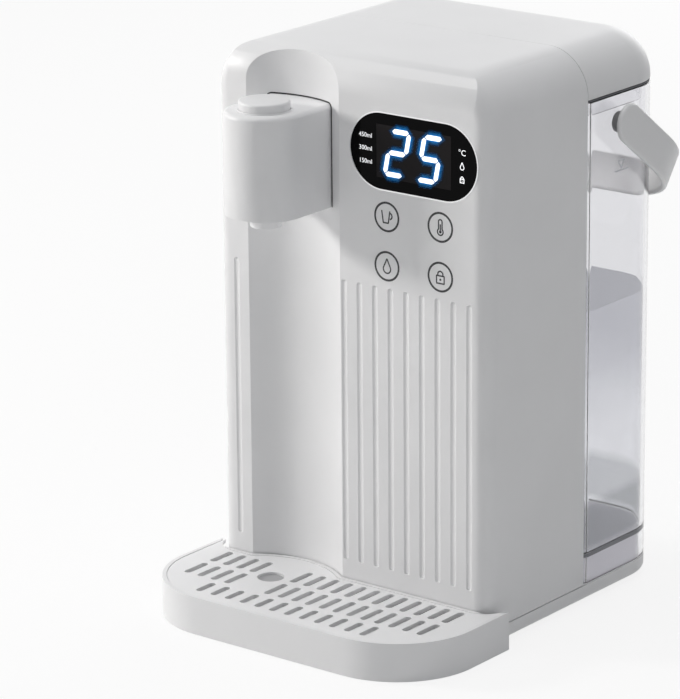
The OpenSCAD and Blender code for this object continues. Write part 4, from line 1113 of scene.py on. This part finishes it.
@dataclass
class WaterTank:
    """Clear tank with its water, lid and swing handle."""

    edge: float = 0.4
    lid_edge: float = 0.35
    boss_edge: float = 0.4
    water_top: float = 157.0  # height of the water over the table
    wall: float = 2.2  # thickness of the tank wall
    floor_top: float = 27.0  # height of its floor over the table
    rear_r: float = 31.0  # outer radius of the rear corners
    rear_steps: int = 24
    front_r: float = 4.0  # outer radius of the front corners
    front_steps: int = 6
    least_r: float = 0.4  # least radius of a corner further in
    film: float = 0.03  # gap that keeps water and wall apart
    meniscus: float = 1.2  # how high the water climbs up the wall
    meniscus_w: float = 2.0  # how far from the wall it starts to climb
    band_inset: float = 0.6  # how far the floor's dark edge lies inside the outer face
    band_w: float = 1.2
    band_levels: Point = (2.2, 0.3)  # its lower and upper face, below the floor's top
    mark: Point = (29.7, 228.7)  # place of the level mark, from the tank's front and over the table
    mark_line: float = 0.6  # width of its lines
    mark_corners: tuple[Point, ...] = ((-2.6, 2.4), (2.6, 2.4), (0.0, -1.7))  # its triangle
    mark_ends: tuple[Point, Point] = ((-6.0, -2.7), (6.0, -2.7))  # its level line
    mark_layer: Layer = Layer(0.15, 0.0)
    spring_wire: float = 1.2  # diameter of the valve spring's wire
    spring_turns: int = 4

    def build(self) -> None:
        """Rounds the edges of tank and lid, and adds water, painted shade at the floor's edge, level mark
        and spring.
        """
        # Clear pieces cast no shadow: light goes through the real ones, and a traced shadow is black
        soften("tank_shell", CLEAR_SAN, self.edge, 2).visible_shadow = False
        soften("tank_lid", WHITE_ABS, self.lid_edge, 2)
        soften("handle_pivots", BOSS_GREY, self.boss_edge, 2)
        wind_spring("valve_spring", STEEL, self.spring_wire, self.spring_turns)
        self.build_water()
        self.build_band()
        self.build_mark()
        self.dress()

    def block(self, inset: float, low: float, high: float) -> Shape:
        """Makes an upright block with the tank's plan.

        Args:
            inset: Distance of its sides from the tank's outer face.
            low: Height of its lower face.
            high: Height of its upper face.

        Returns:
            The block in millimetres.
        """
        corner_low, corner_high = (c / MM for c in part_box("tank_shell"))
        half_w = corner_high.x - inset
        front, rear = corner_low.y + inset, corner_high.y - inset
        middle = (front + rear) / 2
        shape = bmesh.new()
        size = Matrix.Diagonal((2 * half_w, rear - front, high - low, 1))
        place = Matrix.Translation((0, middle, (low + high) / 2))
        bmesh.ops.create_cube(shape, size=1, matrix=place @ size)
        rear_corners = (True, self.rear_r - inset, self.rear_steps)
        front_corners = (False, max(self.front_r - inset, self.least_r), self.front_steps)
        for at_rear, radius, steps in (rear_corners, front_corners):
            uprights = []
            for edge in shape.edges:
                start, end = (vert.co for vert in edge.verts)
                upright = abs(start.z - end.z) > (high - low) / 2
                if upright and (start.y > middle) == at_rear and abs(start.x) > half_w - SLACK_MM:
                    uprights.append(edge)
            bmesh.ops.bevel(shape, geom=uprights, offset=radius, affect="EDGES", segments=steps,
                            profile=0.5, material=-1)
        return shape

    def build_water(self) -> None:
        """Fills the tank to its water line, with the edge of the water drawn up the wall."""
        water = self.block(self.wall + self.film, self.floor_top + self.film, self.water_top)
        sink_top(water, self.meniscus_w, self.meniscus)
        bmesh.ops.scale(water, vec=(MM, MM, MM), verts=water.verts)
        for face in water.faces:
            face.smooth = abs(face.normal.z) < 0.5
        piece = place_piece("tank_water", water, WATER, "tank")
        piece.visible_shadow = False
        mesh = piece.data
        # The top face takes a darker grey: painted reflection
        mesh.materials.append(WATER_TOP_PAINTED_REFLECTION.material())
        for polygon in mesh.polygons:
            polygon.material_index = int(polygon.normal.z > 0.5)

    def build_band(self) -> None:
        """Builds painted shade: a dark band in the wall where the edge of the tank floor shows through it.
        """
        low, high = (self.floor_top - level for level in self.band_levels)
        band = self.block(self.band_inset, low, high)
        caps = [face for face in band.faces if abs(face.normal.z) > 0.9]
        bmesh.ops.inset_region(band, faces=caps, thickness=self.band_w, use_even_offset=True)
        inner = [face for face in band.faces if abs(face.normal.z) > 0.9 and len(face.verts) > 8]
        bmesh.ops.bridge_loops(band, edges=[e for face in inner for e in face.edges])
        bmesh.ops.delete(band, geom=inner, context="FACES_ONLY")
        bmesh.ops.recalc_face_normals(band, faces=band.faces)
        bmesh.ops.scale(band, vec=(MM, MM, MM), verts=band.verts)
        place_piece("tank_floor_edge_shade", band, FLOOR_EDGE_SHADE, "tank")

    def build_mark(self) -> None:
        """Builds the raised level mark on the right wall: a triangle that points down to a line."""
        shape = bmesh.new()
        for number, corner in enumerate(self.mark_corners):
            straight_line(shape, corner, self.mark_corners[number - 1], self.mark_line)
        straight_line(shape, *self.mark_ends, self.mark_line)
        low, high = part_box("tank_shell")
        place = Vector((high.x, low.y + self.mark[0] * MM, self.mark[1] * MM))
        lay(shape, "level_mark", FROSTED_SAN, self.mark_layer, place, "tank", 90)

    def dress(self) -> None:
        """Gives the tank's smaller pieces their finishes."""
        dress(NATURAL_PART, "tank_valve", "tank_filter")
        dress(CLEAR_SAN, "lid_liner")
        dress(PART_GREY, "valve_poppet")
        dress(HANDLE_WHITE, "tank_handle")
        dress(GREY_SEAL, "lid_seal")


@dataclass(frozen=True)
class SoftBox:
    """A square soft light that looks at the middle of the object."""

    name: str
    towards: Triple  # direction from the object to the light
    distance: float  # in metres
    size: float  # side of its face, in metres
    power: float  # in watts
    colour: str = "#ffffff"

    def hang(self) -> None:
        """Hangs the light, which is seen in gloss alone, so that no view shows its face."""
        data = bpy.data.lights.new(self.name, "AREA")
        data.size = self.size
        data.energy = self.power
        data.color = srgb(self.colour)[:3]
        direction = Vector(self.towards).normalized()
        turn = direction.to_track_quat("Z", "Y").to_matrix().to_4x4()
        target = (CAD_BOX[0] + CAD_BOX[1]) / 2
        lamp = add_object(self.name, data)
        lamp.matrix_world = Matrix.Translation(target + direction * self.distance) @ turn
        lamp.visible_camera = lamp.visible_transmission = False


@dataclass
class Studio:
    """Pale floor, soft light and the camera at the photograph's angle."""

    camera_mm: Triple = (1208.18, -1554.87, 746.56)  # place, from the foot of the front wall's middle
    yaw: float = 37.99  # direction of the camera in degrees, with pitch and roll
    pitch: float = 17.03
    roll: float = -0.48
    focal_px: float = 4085.0  # focal length in pixels
    image: tuple[int, int] = (680, 699)  # width and height in pixels
    sensor_mm: float = 36.0
    far: float = 100.0  # how far the camera sees, in metres
    floor_size: float = 16.0  # side of the floor in metres, beyond what the camera sees
    sky: str = "#f6f8fb"  # colour of the light from all round
    sky_strength: float = 0.19
    lights: tuple[SoftBox, ...] = (
        SoftBox("key", (-0.85, -0.44, 0.32), 1.9, 0.3, 20.9, "#fffdfa"),
        SoftBox("top", (-0.1, -0.02, 1.0), 3.6, 2.8, 60.0),
        SoftBox("back_fill", (-0.25, 1.0, 0.3), 2.2, 1.1, 9.5),
        SoftBox("side_fill", (1.0, -0.45, 0.16), 2.4, 0.9, 3.0, "#fbfdff"),
    )

    def build(self) -> None:
        """Builds camera, floor, sky and lights."""
        self.build_camera()
        self.build_floor()
        self.build_sky()
        for light in self.lights:
            light.hang()

    def build_camera(self) -> None:
        """Sets the camera from its fitted place, direction and focal length."""
        data = bpy.data.cameras.new("camera")
        data.sensor_width = self.sensor_mm
        data.lens = self.focal_px * data.sensor_width / max(self.image)
        data.clip_end = self.far
        camera = add_object("camera", data)
        turns = ((self.yaw, "Z"), (90 - self.pitch, "X"), (self.roll, "Z"))
        yaw, pitch, roll = (Matrix.Rotation(math.radians(turn), 4, axis) for turn, axis in turns)
        foot = Vector((0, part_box("front_housing")[0].y, 0))
        place = Matrix.Translation(foot + Vector(self.camera_mm) * MM)
        camera.matrix_world = place @ yaw @ pitch @ roll
        bpy.context.scene.camera = camera

    def build_floor(self) -> None:
        """Lays the pale floor."""
        shape = bmesh.new()
        bmesh.ops.create_grid(shape, x_segments=1, y_segments=1, size=self.floor_size / 2)
        add_shape("floor", shape, FLOOR)

    def build_sky(self) -> None:
        """Sets an even sky: white where it is seen, dimmer as light."""
        world = bpy.data.worlds.new("studio")
        bpy.context.scene.world = world
        world.use_nodes = True
        tree = world.node_tree
        light = tree.nodes["Background"]
        fill_inputs(tree, light, {"Color": srgb(self.sky), "Strength": self.sky_strength})
        whiten(tree, "ShaderNodeBackground", light, "World Output")


def main() -> None:
    """Builds and dresses the sub-assemblies in order."""
    logging.basicConfig(level=logging.INFO, format="%(name)s: %(message)s")
    bpy.context.scene.view_settings.view_transform = "Standard"
    Studio().build()
    for group in (FrontUnit(), Spout(), Display(), TouchKeys(), DripTray(), WaterTank()):
        group.build()


if __name__ == "__main__":
    main()
